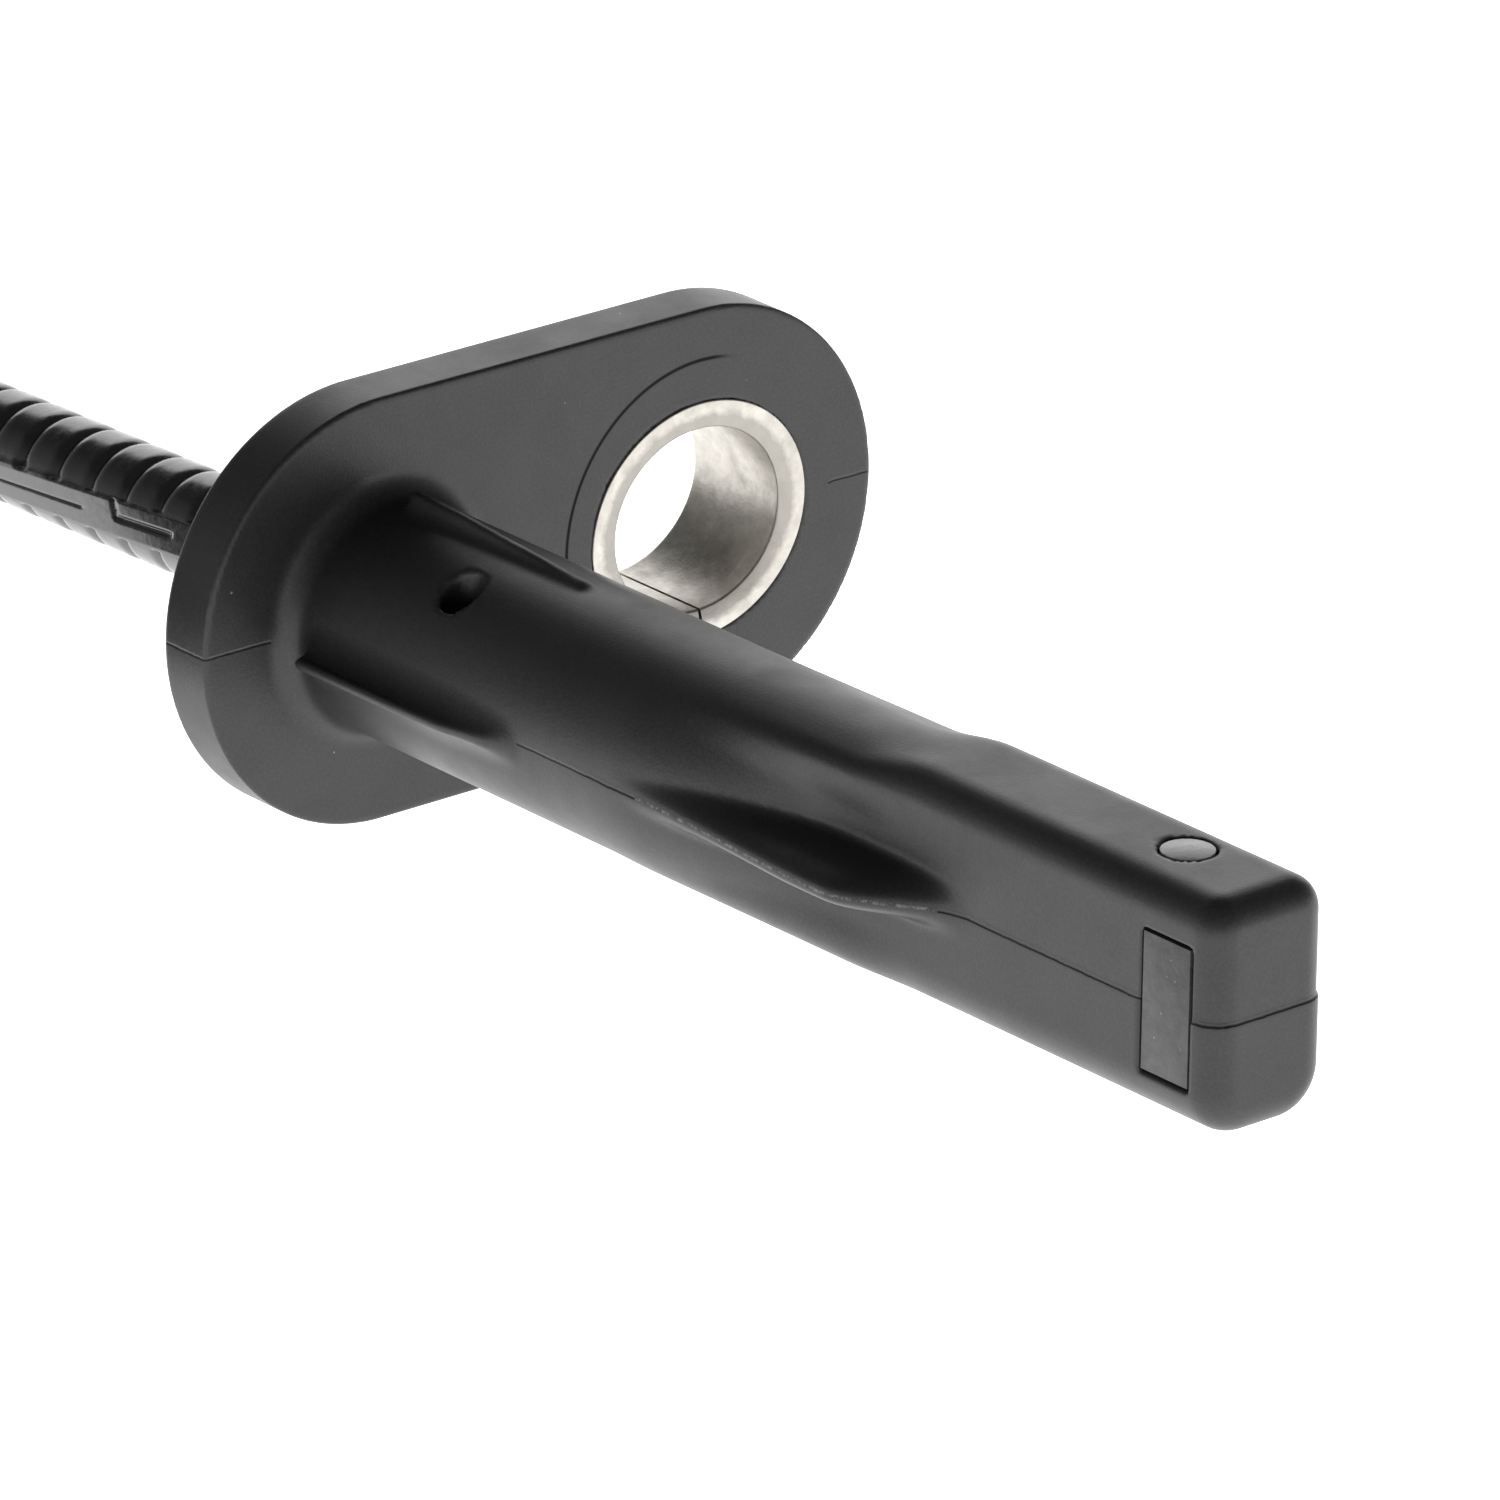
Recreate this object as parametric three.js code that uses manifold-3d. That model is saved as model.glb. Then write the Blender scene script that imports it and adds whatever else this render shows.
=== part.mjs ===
// Wheel speed sensor with a long probe, a bolt-on flange and a coiled lead.
// Millimetres. Inside the model the probe axis is Y, the probe points to -Y,
// the flange reaches to +X and Z is up. The flange seat is the plane y = 0.

import * as THREE from 'three';
import * as BufferGeometryUtils from 'three/addons/utils/BufferGeometryUtils.js';
import Module from 'manifold-3d';

const wasm = await Module();
wasm.setup();

// Probe: a round barrel that narrows to a flat blade.
const barrelRadius = 5.0;
const probeReach = 54.55;
const bladeWidth = 6.1;
const bladeTop = 5.0;
const bladeBottom = 4.95;
const bladeSideShift = 0.35;
const bladeUpperCornerRadius = 1.45;
const bladeLowerCornerRadius = 2.1;
const bladeLength = 14.2;
const tipRound = 1.3;
const sideScoopLength = 15.5;
const sideScoopRunIn = 10.5;
const keelRunOut = 2;
const crownBlendLength = 3.4;
const keelBlendLength = 5.9;
const keelRise = 0.5;
const keelHalfAngle = 34;
const keelCrestHalfAngle = 2;
const flankAngle = 45;
const crownAngle = 66;
const baseFilletRadius = 1.1;

// Four tapered guide fins round the root of the barrel.
const finLength = 16;
const sideFinRise = 1.15;
const crownFinRise = 1.4;
const finWidth = 1.3;
const finEdgeRound = 0.3;
const finTipRise = 0.05;

// Blind ejector hole in the upper side of the barrel.
const blindHoleRadius = 0.93;
const blindHoleFromSeat = 8.55;
const blindHoleSide = 2.7;
const blindHoleDepth = 2.6;

// Flange: an obround plate, with bosses on its cable side.
const flangeRadius = 9.35;
const flangeThickness = 2.8;
const boltPitch = 17.1;
const flangeEdgeRound = 0.35;
const bushBossRadius = 7.4;
const cableBossRadius = 4.4;
const cableBossHeight = 4.7;
const webHeight = 2.0;
const webWidth = 6.4;
const bossEdgeRound = 0.5;

// Rolled steel bush that takes the bolt load.
const bushOuterRadius = 5.6;
const bushBoreRadius = 4.3;
const bushLength = 5.8;
const bushProud = 0.05;
const bushChamfer = 0.25;
const bushSeamGap = 0.2;
const bushSeamAngle = 272;
const bushSeatGap = 0.05;

// Moulded carrier inside the probe, shown at two windows and a round pad.
const carrierGap = 0.15;
const carrierWidth = 3.4;
const carrierHeight = 5.8;
const carrierFromSeat = 6.0;
const windowFromTip = 1.4;
const windowLength = 2.7;
const padFromTip = 5.4;
const padSideShift = 0.3;
const padRadius = 1.1;
const troughFloor = 0.8;
const troughWall = 0.75;

// Chip, capacitor, leads and crimps in the carrier's trough.
const chipLength = 5.2;
const chipWidth = 4.1;
const chipThickness = 1.1;
const chipEdgeRound = 0.15;
const chipGap = 0.3;
const leadPitch = 2.54;
const leadWidth = 0.7;
const leadThickness = 0.4;
const capacitorLength = 4.6;
const capacitorWidth = 3.6;
const capacitorThickness = 1.1;
const capacitorEdgeRound = 0.25;
const capacitorFromChip = 4.5;
const crimpLength = 6.0;
const crimpRadius = 0.85;
const crimpFromCarrierEnd = 5.0;
const conductorRadius = 0.42;
const conductorGap = 0.08;
const coreRadius = 0.7;
const coreGap = 0.15;
const slotGap = 0.1;

// Ribbed strain relief on the cable.
const reliefRadius = 2.28;
const reliefGrooveDepth = 0.3;
const reliefPitch = 2.15;
const reliefLength = 34;
const reliefSocketDepth = 4.4;
const reliefPlainEnd = 3.2;
const reliefBandWidth = 1.5;
const reliefSeatGap = 0.15;
const reliefDrop = 0.4;
const cableSocketDepth = 6;

// Cable, coiled behind the sensor on the surface it lies on.
const cableDiameter = 3.4;
const cableGap = 0.3;
const coilMeanRadius = 18.7;
const coilColumns = 3;
const coilLayers = 2;
const coilCentreX = -7;
const coilCentreY = 87;
const tieThickness = 0.8;
const tieWidth = 2.6;
const tieGap = 0.15;
const tieHeadSize = 4.0;
const tieAngle = 40;

// Two-pole connector at the far end.
const plugWidth = 15;
const plugHeight = 12;
const plugLength = 25;
const plugCornerRadius = 3;
const plugEdgeRound = 0.6;
const plugWall = 1.7;
const plugMouthDepth = 13;
const plugFromCoil = 37;
const plugRearSeatDepth = 5;
const pinPitch = 5;
const pinWidth = 1.5;
const pinThickness = 0.8;
const pinReach = 6.6;
const pinRoot = 3.4;
const pinGap = 0.1;
const lockThickness = 2.0;
const lockGap = 0.15;
const latchLength = 5;
const latchRise = 1.5;
const latchWidth = 5;
const latchFromTip = 3;
const guideRibWidth = 1.4;
const guideRibRise = 0.7;
const sealRadius = 4.2;
const sealLength = 4.4;
const sealRibRise = 0.4;
const bootLength = 14;
const bootRadius = 4.6;
const bootTipRadius = 2.9;
const bootCollarLength = 2;
const bootCollarStep = 0.7;
const bootEdgeRound = 0.4;
const plugGap = 0.3;

// Places that follow from the sizes above.
const tipY = -probeReach;
const bladeStartY = tipY + bladeLength;
const seatBackY = flangeThickness;
const bushFrontY = -bushProud;
const bushBackY = bushFrontY + bushLength;
const bushBossY = bushBackY - bushProud;
const cableBossY = seatBackY + cableBossHeight;
const floorZ = -flangeRadius;
const cableRadius = cableDiameter / 2;
const carrierTipY = tipY + windowFromTip;
const carrierHeadY = carrierTipY + windowLength;
const carrierRearY = -carrierFromSeat;
const troughFloorX = -carrierWidth / 2 + troughFloor;
const chipTipY = carrierHeadY + chipGap;
const chipRearY = chipTipY + chipLength;
const capacitorTipY = chipRearY + capacitorFromChip;
const crimpRearY = carrierRearY - crimpFromCarrierEnd;
const crimpTipY = crimpRearY - crimpLength;
const crimpX = troughFloorX + crimpRadius + slotGap;
const reliefStartY = cableBossY - reliefSocketDepth;
const reliefEndY = reliefStartY + reliefLength;
const bladeCentreZ = (bladeTop - bladeBottom) / 2;
const coilOuterRadius = coilMeanRadius + (coilColumns * cableDiameter) / 2;
const coilInnerRadius = coilMeanRadius - (coilColumns * cableDiameter) / 2;
const outerTurnRadius = coilOuterRadius - cableRadius;
const coilBaseZ = floorZ + tieThickness + tieGap;
const coilTopZ = coilBaseZ + coilLayers * cableDiameter;
const coilEntryReach = Math.sqrt(coilOuterRadius ** 2 - (outerTurnRadius - cableRadius) ** 2);
const coilEntryY = coilCentreY - coilEntryReach - cableGap;
const plugX = coilCentreX - coilOuterRadius + plugWidth / 2;
const plugRearY = coilEntryY - plugFromCoil;
const plugTipY = plugRearY - plugLength;
const plugZ = floorZ + plugHeight / 2 + guideRibRise;
const pinRearY = plugTipY + plugMouthDepth + pinRoot;

// Solids: closed three.js meshes joined and cut as manifolds.

function toSolid(geometry) {
  const bare = geometry.index ? geometry.toNonIndexed() : geometry.clone();
  for (const name of Object.keys(bare.attributes)) {
    if (name !== 'position') bare.deleteAttribute(name);
  }
  const merged = BufferGeometryUtils.mergeVertices(bare, 1e-4);
  const source = merged.index.array;
  const corners = [];
  for (let i = 0; i < source.length; i += 3) {
    const [a, b, c] = [source[i], source[i + 1], source[i + 2]];
    if (a !== b && b !== c && c !== a) corners.push(a, b, c);
  }
  return new wasm.Manifold(new wasm.Mesh({
    numProp: 3,
    vertProperties: new Float32Array(merged.attributes.position.array),
    triVerts: new Uint32Array(corners),
  }));
}

function toGeometry(solid) {
  const mesh = solid.getMesh();
  const geometry = new THREE.BufferGeometry();
  geometry.setAttribute('position', new THREE.BufferAttribute(mesh.vertProperties, 3));
  geometry.setIndex(new THREE.BufferAttribute(mesh.triVerts, 1));
  geometry.computeVertexNormals();
  return geometry;
}

function join(first, ...rest) {
  return rest.reduce((sum, geometry) => sum.add(toSolid(geometry)), toSolid(first));
}

function cut(solid, ...tools) {
  return tools.reduce((left, geometry) => left.subtract(toSolid(geometry)), solid);
}

// A box given by its lowest and highest corners.
function block(low, high) {
  const size = high.map((value, axis) => value - low[axis]);
  const geometry = new THREE.BoxGeometry(...size);
  return geometry.translate(...high.map((value, axis) => (value + low[axis]) / 2));
}

// A round bar along Y.
function bar(radius, frontY, backY, x = 0, z = 0, segments = 32) {
  const geometry = new THREE.CylinderGeometry(radius, radius, backY - frontY, segments);
  return geometry.translate(x, (frontY + backY) / 2, z);
}

// A shape drawn in X and Z, extruded along Y, with its edges rounded inside its outline.
function prism(shape, frontY, backY, edgeRound = 0, curveSegments = 12) {
  const geometry = new THREE.ExtrudeGeometry(shape, {
    depth: backY - frontY - 2 * edgeRound,
    bevelEnabled: edgeRound > 0,
    bevelThickness: edgeRound,
    bevelSize: edgeRound,
    bevelOffset: -edgeRound,
    bevelSegments: 2,
    curveSegments,
  });
  geometry.rotateX(Math.PI / 2);
  return geometry.translate(0, backY - edgeRound, 0);
}

function obround(farX, radius) {
  const shape = new THREE.Shape();
  shape.absarc(0, 0, radius, Math.PI / 2, (3 * Math.PI) / 2, false);
  shape.absarc(farX, 0, radius, -Math.PI / 2, Math.PI / 2, false);
  shape.closePath();
  return shape;
}

function roundedRectangle(width, height, radius) {
  const [x, z] = [width / 2 - radius, height / 2 - radius];
  const shape = new THREE.Shape();
  shape.absarc(x, z, radius, 0, Math.PI / 2, false);
  shape.absarc(-x, z, radius, Math.PI / 2, Math.PI, false);
  shape.absarc(-x, -z, radius, Math.PI, 1.5 * Math.PI, false);
  shape.absarc(x, -z, radius, 1.5 * Math.PI, 2 * Math.PI, false);
  shape.closePath();
  return shape;
}

// A closed skin through rings that all have the same number of points.
function loft(rings) {
  const count = rings[0].length;
  const positions = rings.flat().flatMap((point) => point.toArray());
  const index = [];
  for (let r = 0; r + 1 < rings.length; r += 1) {
    for (let k = 0; k < count; k += 1) {
      const next = (k + 1) % count;
      const [a, b] = [r * count + k, r * count + next];
      const [c, d] = [a + count, b + count];
      index.push(a, b, c, b, d, c);
    }
  }
  for (const [ring, turned] of [[0, false], [rings.length - 1, true]]) {
    const centre = rings[ring].reduce((sum, point) => sum.add(point), new THREE.Vector3());
    const hub = positions.length / 3;
    positions.push(...centre.divideScalar(count).toArray());
    for (let k = 0; k < count; k += 1) {
      const [a, b] = [ring * count + k, ring * count + ((k + 1) % count)];
      index.push(...(turned ? [hub, a, b] : [hub, b, a]));
    }
  }
  const geometry = new THREE.BufferGeometry();
  geometry.setAttribute('position', new THREE.Float32BufferAttribute(positions, 3));
  geometry.setIndex(index);
  return geometry;
}

// Probe sections.

function bladeReach(angle, inset) {
  const [c, s] = [Math.abs(Math.cos(angle)), Math.abs(Math.sin(angle))];
  const halfWidth = bladeWidth / 2 - inset;
  const halfHeight = (bladeTop + bladeBottom) / 2 - inset;
  const corner = Math.sin(angle) < 0 ? bladeLowerCornerRadius : bladeUpperCornerRadius;
  const radius = Math.max(corner - inset, 0.1);
  const [cornerX, cornerZ] = [halfWidth - radius, halfHeight - radius];
  if (c > 0 && (halfWidth / c) * s <= cornerZ) return halfWidth / c;
  if (s > 0 && (halfHeight / s) * c <= cornerX) return halfHeight / s;
  const along = c * cornerX + s * cornerZ;
  const apart = cornerX ** 2 + cornerZ ** 2 - radius ** 2;
  return along + Math.sqrt(along ** 2 - apart);
}

// How far a section has gone from round to blade, by its angle from the parting plane.
function bladeShare(y, angle) {
  const lift = THREE.MathUtils.radToDeg(Math.asin(Math.abs(Math.sin(angle))));
  const towardsTip = (length, after) => (
    1 - THREE.MathUtils.smoothstep(y, bladeStartY + after, bladeStartY + after + length)
  );
  const keel = towardsTip(keelBlendLength, 0);
  const flank = towardsTip(sideScoopRunIn, sideScoopLength - sideScoopRunIn);
  const crown = towardsTip(crownBlendLength, keelBlendLength - crownBlendLength);
  const offKeel = THREE.MathUtils.smoothstep(lift, keelCrestHalfAngle, keelHalfAngle);
  const onCrown = THREE.MathUtils.smoothstep(lift, flankAngle, crownAngle);
  const side = THREE.MathUtils.lerp(keel, flank, offKeel);
  return THREE.MathUtils.lerp(side, crown, onCrown);
}

// The keel in the parting plane stands a little proud of the round barrel.
function keelBulge(y, angle) {
  const lift = THREE.MathUtils.radToDeg(Math.asin(Math.abs(Math.sin(angle))));
  const near = 1 - THREE.MathUtils.smoothstep(lift, keelCrestHalfAngle, keelHalfAngle);
  const along = THREE.MathUtils.clamp((y - bladeStartY) / (sideScoopLength + keelRunOut), 0, 1);
  return keelRise * near * Math.sin(Math.PI * along ** 0.75) ** 2;
}

function probeRing(y, inset = 0, count = 64) {
  const ring = [];
  for (let k = 0; k < count; k += 1) {
    const angle = (2 * Math.PI * k) / count;
    const [c, s] = [Math.cos(angle), Math.sin(angle)];
    const share = bladeShare(y, angle);
    const reach = THREE.MathUtils.lerp(barrelRadius, bladeReach(angle, inset), share);
    const radius = reach + (1 - share) * keelBulge(y, angle);
    ring.push(new THREE.Vector3(
      radius * c + share * bladeSideShift,
      y,
      radius * s + share * bladeCentreZ,
    ));
  }
  return ring;
}

function probeSkin() {
  const rings = [probeRing(seatBackY / 2), probeRing(bladeStartY + sideScoopLength + keelRunOut)];
  const steps = 17;
  for (let k = 1; k <= steps; k += 1) {
    rings.push(probeRing(bladeStartY + (sideScoopLength + keelRunOut) * (1 - k / steps)));
  }
  const roundSteps = 5;
  for (let k = 0; k <= roundSteps; k += 1) {
    const turn = (k / roundSteps) * (Math.PI / 2);
    const y = tipY + tipRound * (1 - Math.sin(turn));
    rings.push(probeRing(y, tipRound * (1 - Math.cos(turn))));
  }
  return loft(rings);
}

function baseFillet() {
  const profile = [new THREE.Vector2(0, seatBackY / 2)];
  profile.push(new THREE.Vector2(barrelRadius + baseFilletRadius, seatBackY / 2));
  for (let k = 0; k <= 5; k += 1) {
    const turn = (k / 5) * (Math.PI / 2);
    profile.push(new THREE.Vector2(
      barrelRadius + baseFilletRadius * (1 - Math.sin(turn)),
      -baseFilletRadius * (1 - Math.cos(turn)),
    ));
  }
  profile.push(new THREE.Vector2(0, -baseFilletRadius));
  return new THREE.LatheGeometry(profile.reverse(), 48);
}

// One guide fin: a wedge along the barrel, highest at the flange.
function guideFin(turn, finRise) {
  const inner = barrelRadius - finRise;
  const [half, edge] = [finWidth / 2, finEdgeRound];
  const rings = [];
  for (const [y, rise] of [
    [seatBackY / 2, finRise],
    [0, finRise],
    [-finLength * 0.3, finRise * 0.86],
    [-finLength * 0.5, finRise * 0.55],
    [-finLength * 0.85, finRise * 0.27],
    [-finLength, finTipRise],
  ]) {
    const outer = barrelRadius + rise;
    rings.push([
      new THREE.Vector3(inner, y, -half),
      new THREE.Vector3(outer - edge, y, -half),
      new THREE.Vector3(outer, y, -half + edge),
      new THREE.Vector3(outer, y, half - edge),
      new THREE.Vector3(outer - edge, y, half),
      new THREE.Vector3(inner, y, half),
    ]);
  }
  return loft(rings).rotateY(turn);
}

// The round bore or boss on the bolt axis.
function atBolt(radius, frontY, backY, edgeRound = 0) {
  const circle = new THREE.Shape();
  circle.absarc(boltPitch, 0, radius, 0, 2 * Math.PI, false);
  return prism(circle, frontY, backY, edgeRound, 24);
}

function carrierPocket() {
  const [halfWidth, halfHeight] = [carrierWidth / 2 + carrierGap, carrierHeight / 2 + carrierGap];
  return block(
    [-halfWidth, carrierTipY - carrierGap, -halfHeight],
    [halfWidth, carrierRearY + carrierGap, halfHeight],
  );
}

function windowCut() {
  const reach = bladeWidth + barrelRadius;
  const halfHeight = carrierHeight / 2 + carrierGap;
  return block(
    [-reach, carrierTipY - carrierGap, -halfHeight],
    [reach, carrierHeadY + carrierGap, halfHeight],
  );
}

function padPost(radius, lowZ, highZ) {
  const geometry = new THREE.CylinderGeometry(radius, radius, highZ - lowZ, 24);
  geometry.rotateX(Math.PI / 2);
  const x = bladeSideShift + padSideShift;
  return geometry.translate(x, tipY + padFromTip, (lowZ + highZ) / 2);
}

function blindHole() {
  const surfaceZ = Math.sqrt(barrelRadius ** 2 - blindHoleSide ** 2);
  const depth = blindHoleDepth + barrelRadius;
  const geometry = new THREE.CylinderGeometry(blindHoleRadius, blindHoleRadius, depth, 20);
  geometry.rotateX(Math.PI / 2);
  const z = surfaceZ - blindHoleDepth + depth / 2;
  return geometry.translate(-blindHoleSide, -blindHoleFromSeat, z);
}

function wireBore(side) {
  const radius = coreRadius + coreGap;
  return bar(radius, carrierRearY, reliefStartY + coreGap, crimpX, (side * leadPitch) / 2, 20);
}

function sensorBody() {
  const web = roundedRectangle(boltPitch, webWidth, webWidth / 2.1);
  const body = join(
    prism(obround(boltPitch, flangeRadius), 0, seatBackY, flangeEdgeRound, 20),
    probeSkin(),
    baseFillet(),
    guideFin(0, sideFinRise),
    guideFin(Math.PI / 2, crownFinRise),
    guideFin(Math.PI, sideFinRise),
    guideFin(-Math.PI / 2, crownFinRise),
    atBolt(bushBossRadius, seatBackY / 2, bushBossY, bossEdgeRound),
    prism(roundBoss(), seatBackY / 2, cableBossY, bossEdgeRound, 20),
    prism(web, seatBackY / 2, seatBackY + webHeight, bossEdgeRound)
      .translate(boltPitch / 2, 0, 0),
  );
  return toGeometry(cut(
    body,
    atBolt(bushOuterRadius + bushSeatGap, -flangeThickness, bushBossY + flangeThickness),
    carrierPocket(),
    windowCut(),
    padPost(padRadius + carrierGap, 0, bladeTop + padRadius),
    blindHole(),
    wireBore(-1),
    wireBore(1),
    bar(reliefRadius + reliefSeatGap, reliefStartY, cableBossY + 1, 0, -reliefDrop),
  ));
}

function roundBoss() {
  const circle = new THREE.Shape();
  circle.absarc(0, 0, cableBossRadius, 0, 2 * Math.PI, false);
  return circle;
}

// The bush is a rolled strip, so its section is a ring with a seam.
function mountingBush() {
  const profile = [
    [bushBoreRadius, bushFrontY + bushChamfer],
    [bushBoreRadius + bushChamfer, bushFrontY],
    [bushOuterRadius - bushChamfer, bushFrontY],
    [bushOuterRadius, bushFrontY + bushChamfer],
    [bushOuterRadius, bushBackY - bushChamfer],
    [bushOuterRadius - bushChamfer, bushBackY],
    [bushBoreRadius + bushChamfer, bushBackY],
    [bushBoreRadius, bushBackY - bushChamfer],
    [bushBoreRadius, bushFrontY + bushChamfer],
  ].map(([radius, y]) => new THREE.Vector2(radius, y));
  const ring = toSolid(new THREE.LatheGeometry(profile, 44));
  const seam = block(
    [bushBoreRadius - 1, bushFrontY - 1, -bushSeamGap / 2],
    [bushOuterRadius + 1, bushBackY + 1, bushSeamGap / 2],
  ).rotateY(-THREE.MathUtils.degToRad(bushSeamAngle));
  return toGeometry(cut(ring, seam)).translate(boltPitch, 0, 0);
}

function leadSlot(side, frontY, backY, halfWidth) {
  const z = (side * leadPitch) / 2;
  return block([troughFloorX, frontY, z - halfWidth], [carrierWidth, backY, z + halfWidth]);
}

function chipCarrier() {
  const [halfWidth, halfHeight] = [carrierWidth / 2, carrierHeight / 2];
  const bladeSides = [bladeSideShift - bladeWidth / 2, bladeSideShift + bladeWidth / 2];
  const carrier = join(
    block([-halfWidth, carrierTipY, -halfHeight], [halfWidth, carrierRearY, halfHeight]),
    block(
      [bladeSides[0], carrierTipY, -halfHeight],
      [bladeSides[1], carrierHeadY, halfHeight],
    ),
    padPost(padRadius, halfHeight - troughWall / 2, bladeTop),
  );
  const open = carrierHeight / 2 - troughWall;
  const crimpSlot = crimpRadius + slotGap;
  return toGeometry(cut(
    carrier,
    block([troughFloorX, carrierHeadY, -open], [carrierWidth, chipRearY + slotGap, open]),
    block(
      [troughFloorX + leadThickness, capacitorTipY - slotGap, -open],
      [carrierWidth, capacitorTipY + capacitorLength + slotGap, open],
    ),
    ...[-1, 1].map((side) => leadSlot(side, chipRearY, crimpTipY, leadWidth / 2 + slotGap)),
    ...[-1, 1].map((side) => leadSlot(side, crimpTipY - slotGap, carrierRearY + 1, crimpSlot)),
  ));
}

function sensorChip() {
  const shape = roundedRectangle(chipThickness, chipWidth, chipEdgeRound);
  const x = troughFloorX + chipThickness / 2;
  return prism(shape, chipTipY, chipRearY, 0, 3).translate(x, 0, 0);
}

function capacitor() {
  const shape = roundedRectangle(capacitorThickness, capacitorWidth, capacitorEdgeRound);
  const x = troughFloorX + leadThickness + capacitorThickness / 2;
  return prism(shape, capacitorTipY, capacitorTipY + capacitorLength, 0, 3).translate(x, 0, 0);
}

// A lead frame strip from the chip to its crimp.
function chipLead(side) {
  const z = (side * leadPitch) / 2;
  return block(
    [troughFloorX, chipRearY, z - leadWidth / 2],
    [troughFloorX + leadThickness, crimpTipY, z + leadWidth / 2],
  );
}

// A crimp barrel: a tube closed round the bare conductor.
function crimp(side) {
  const inner = conductorRadius + conductorGap;
  const profile = [
    [inner, crimpTipY],
    [crimpRadius, crimpTipY],
    [crimpRadius, crimpRearY],
    [inner, crimpRearY],
    [inner, crimpTipY],
  ].map(([radius, y]) => new THREE.Vector2(radius, y));
  return new THREE.LatheGeometry(profile, 20).translate(crimpX, 0, (side * leadPitch) / 2);
}

// An insulated core with its end stripped for the crimp.
function wireCore(side) {
  const profile = [
    [0, crimpTipY + slotGap],
    [conductorRadius, crimpTipY + slotGap],
    [conductorRadius, crimpRearY + slotGap],
    [coreRadius, crimpRearY + slotGap],
    [coreRadius, reliefStartY],
    [0, reliefStartY],
  ].map(([radius, y]) => new THREE.Vector2(radius, y));
  return new THREE.LatheGeometry(profile, 16).translate(crimpX, 0, (side * leadPitch) / 2);
}

// Ribs run round the relief and stop at a plain band on each side.
function strainRelief() {
  const groove = reliefRadius - reliefGrooveDepth;
  const profile = [[0, reliefStartY], [reliefRadius, reliefStartY]];
  const ribStartY = cableBossY + reliefPitch / 2;
  const ribCount = Math.floor((reliefEndY - reliefPlainEnd - ribStartY) / reliefPitch);
  for (let k = 0; k < ribCount; k += 1) {
    const y = ribStartY + k * reliefPitch;
    profile.push([reliefRadius, y + reliefPitch * 0.1]);
    profile.push([groove, y + reliefPitch * 0.22]);
    profile.push([groove, y + reliefPitch * 0.38]);
    profile.push([reliefRadius, y + reliefPitch * 0.6]);
  }
  profile.push([reliefRadius, reliefEndY], [0, reliefEndY]);
  const ribbed = new THREE.LatheGeometry(
    profile.map(([radius, y]) => new THREE.Vector2(radius, y)),
    18,
  );
  const half = reliefBandWidth / 2;
  const bandX = Math.sqrt(reliefRadius ** 2 - half ** 2) - reliefGrooveDepth / 6;
  const band = block([-bandX, ribStartY, -half], [bandX, reliefEndY - reliefPlainEnd, half]);
  const socket = bar(
    cableRadius + reliefSeatGap,
    reliefEndY - cableSocketDepth,
    reliefEndY + 1,
    0,
    0,
    24,
  );
  return toGeometry(cut(join(ribbed, band), socket)).translate(0, 0, -reliefDrop);
}

// A round cable along a curve through hand-picked points.
function cableTube(points, steps) {
  const curve = new THREE.CatmullRomCurve3(points, false, 'centripetal');
  const section = new THREE.Shape();
  for (let k = 0; k < 8; k += 1) {
    const angle = (k / 8) * 2 * Math.PI;
    const [x, y] = [cableRadius * Math.cos(angle), cableRadius * Math.sin(angle)];
    if (k === 0) section.moveTo(x, y);
    else section.lineTo(x, y);
  }
  section.closePath();
  return new THREE.ExtrudeGeometry(section, { steps, extrudePath: curve, curveSegments: 1 });
}

// Route out of the relief, down to the surface and across to the coil's right edge.
// Each entry is [share of the run, height share, share of the way across].
const leadRoute = [
  [0.00, 1.0, 0],
  [0.08, 1.0, 0],
  [0.16, 1.0, 0],
  [0.24, 0.995, 0.025],
  [0.31, 0.975, 0.085],
  [0.38, 0.93, 0.17],
  [0.45, 0.84, 0.275],
  [0.52, 0.715, 0.395],
  [0.59, 0.57, 0.52],
  [0.66, 0.42, 0.64],
  [0.73, 0.275, 0.755],
  [0.80, 0.15, 0.855],
  [0.87, 0.06, 0.935],
  [0.94, 0.015, 0.985],
  [1.00, 0.0, 1],
];

function cableLead() {
  const startY = reliefEndY - cableSocketDepth + cableGap;
  const [topZ, lowZ] = [-reliefDrop, coilBaseZ + cableRadius];
  const points = leadRoute.map(([run, height, across]) => new THREE.Vector3(
    across * (coilCentreX + outerTurnRadius),
    THREE.MathUtils.lerp(startY, coilEntryY, run),
    THREE.MathUtils.lerp(lowZ, topZ, height),
  ));
  return cableTube(points, 14);
}

function cableCoil() {
  const edge = cableRadius * 0.7;
  const profile = [
    [coilInnerRadius, coilBaseZ + edge],
    [coilInnerRadius + edge, coilBaseZ],
    [coilOuterRadius - edge, coilBaseZ],
    [coilOuterRadius, coilBaseZ + edge],
    [coilOuterRadius, coilTopZ - edge],
    [coilOuterRadius - edge, coilTopZ],
    [coilInnerRadius + edge, coilTopZ],
    [coilInnerRadius, coilTopZ - edge],
    [coilInnerRadius, coilBaseZ + edge],
  ].map(([radius, z]) => new THREE.Vector2(radius, z));
  const ring = new THREE.LatheGeometry(profile, 40);
  return ring.rotateX(Math.PI / 2).translate(coilCentreX, coilCentreY, 0);
}

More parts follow.
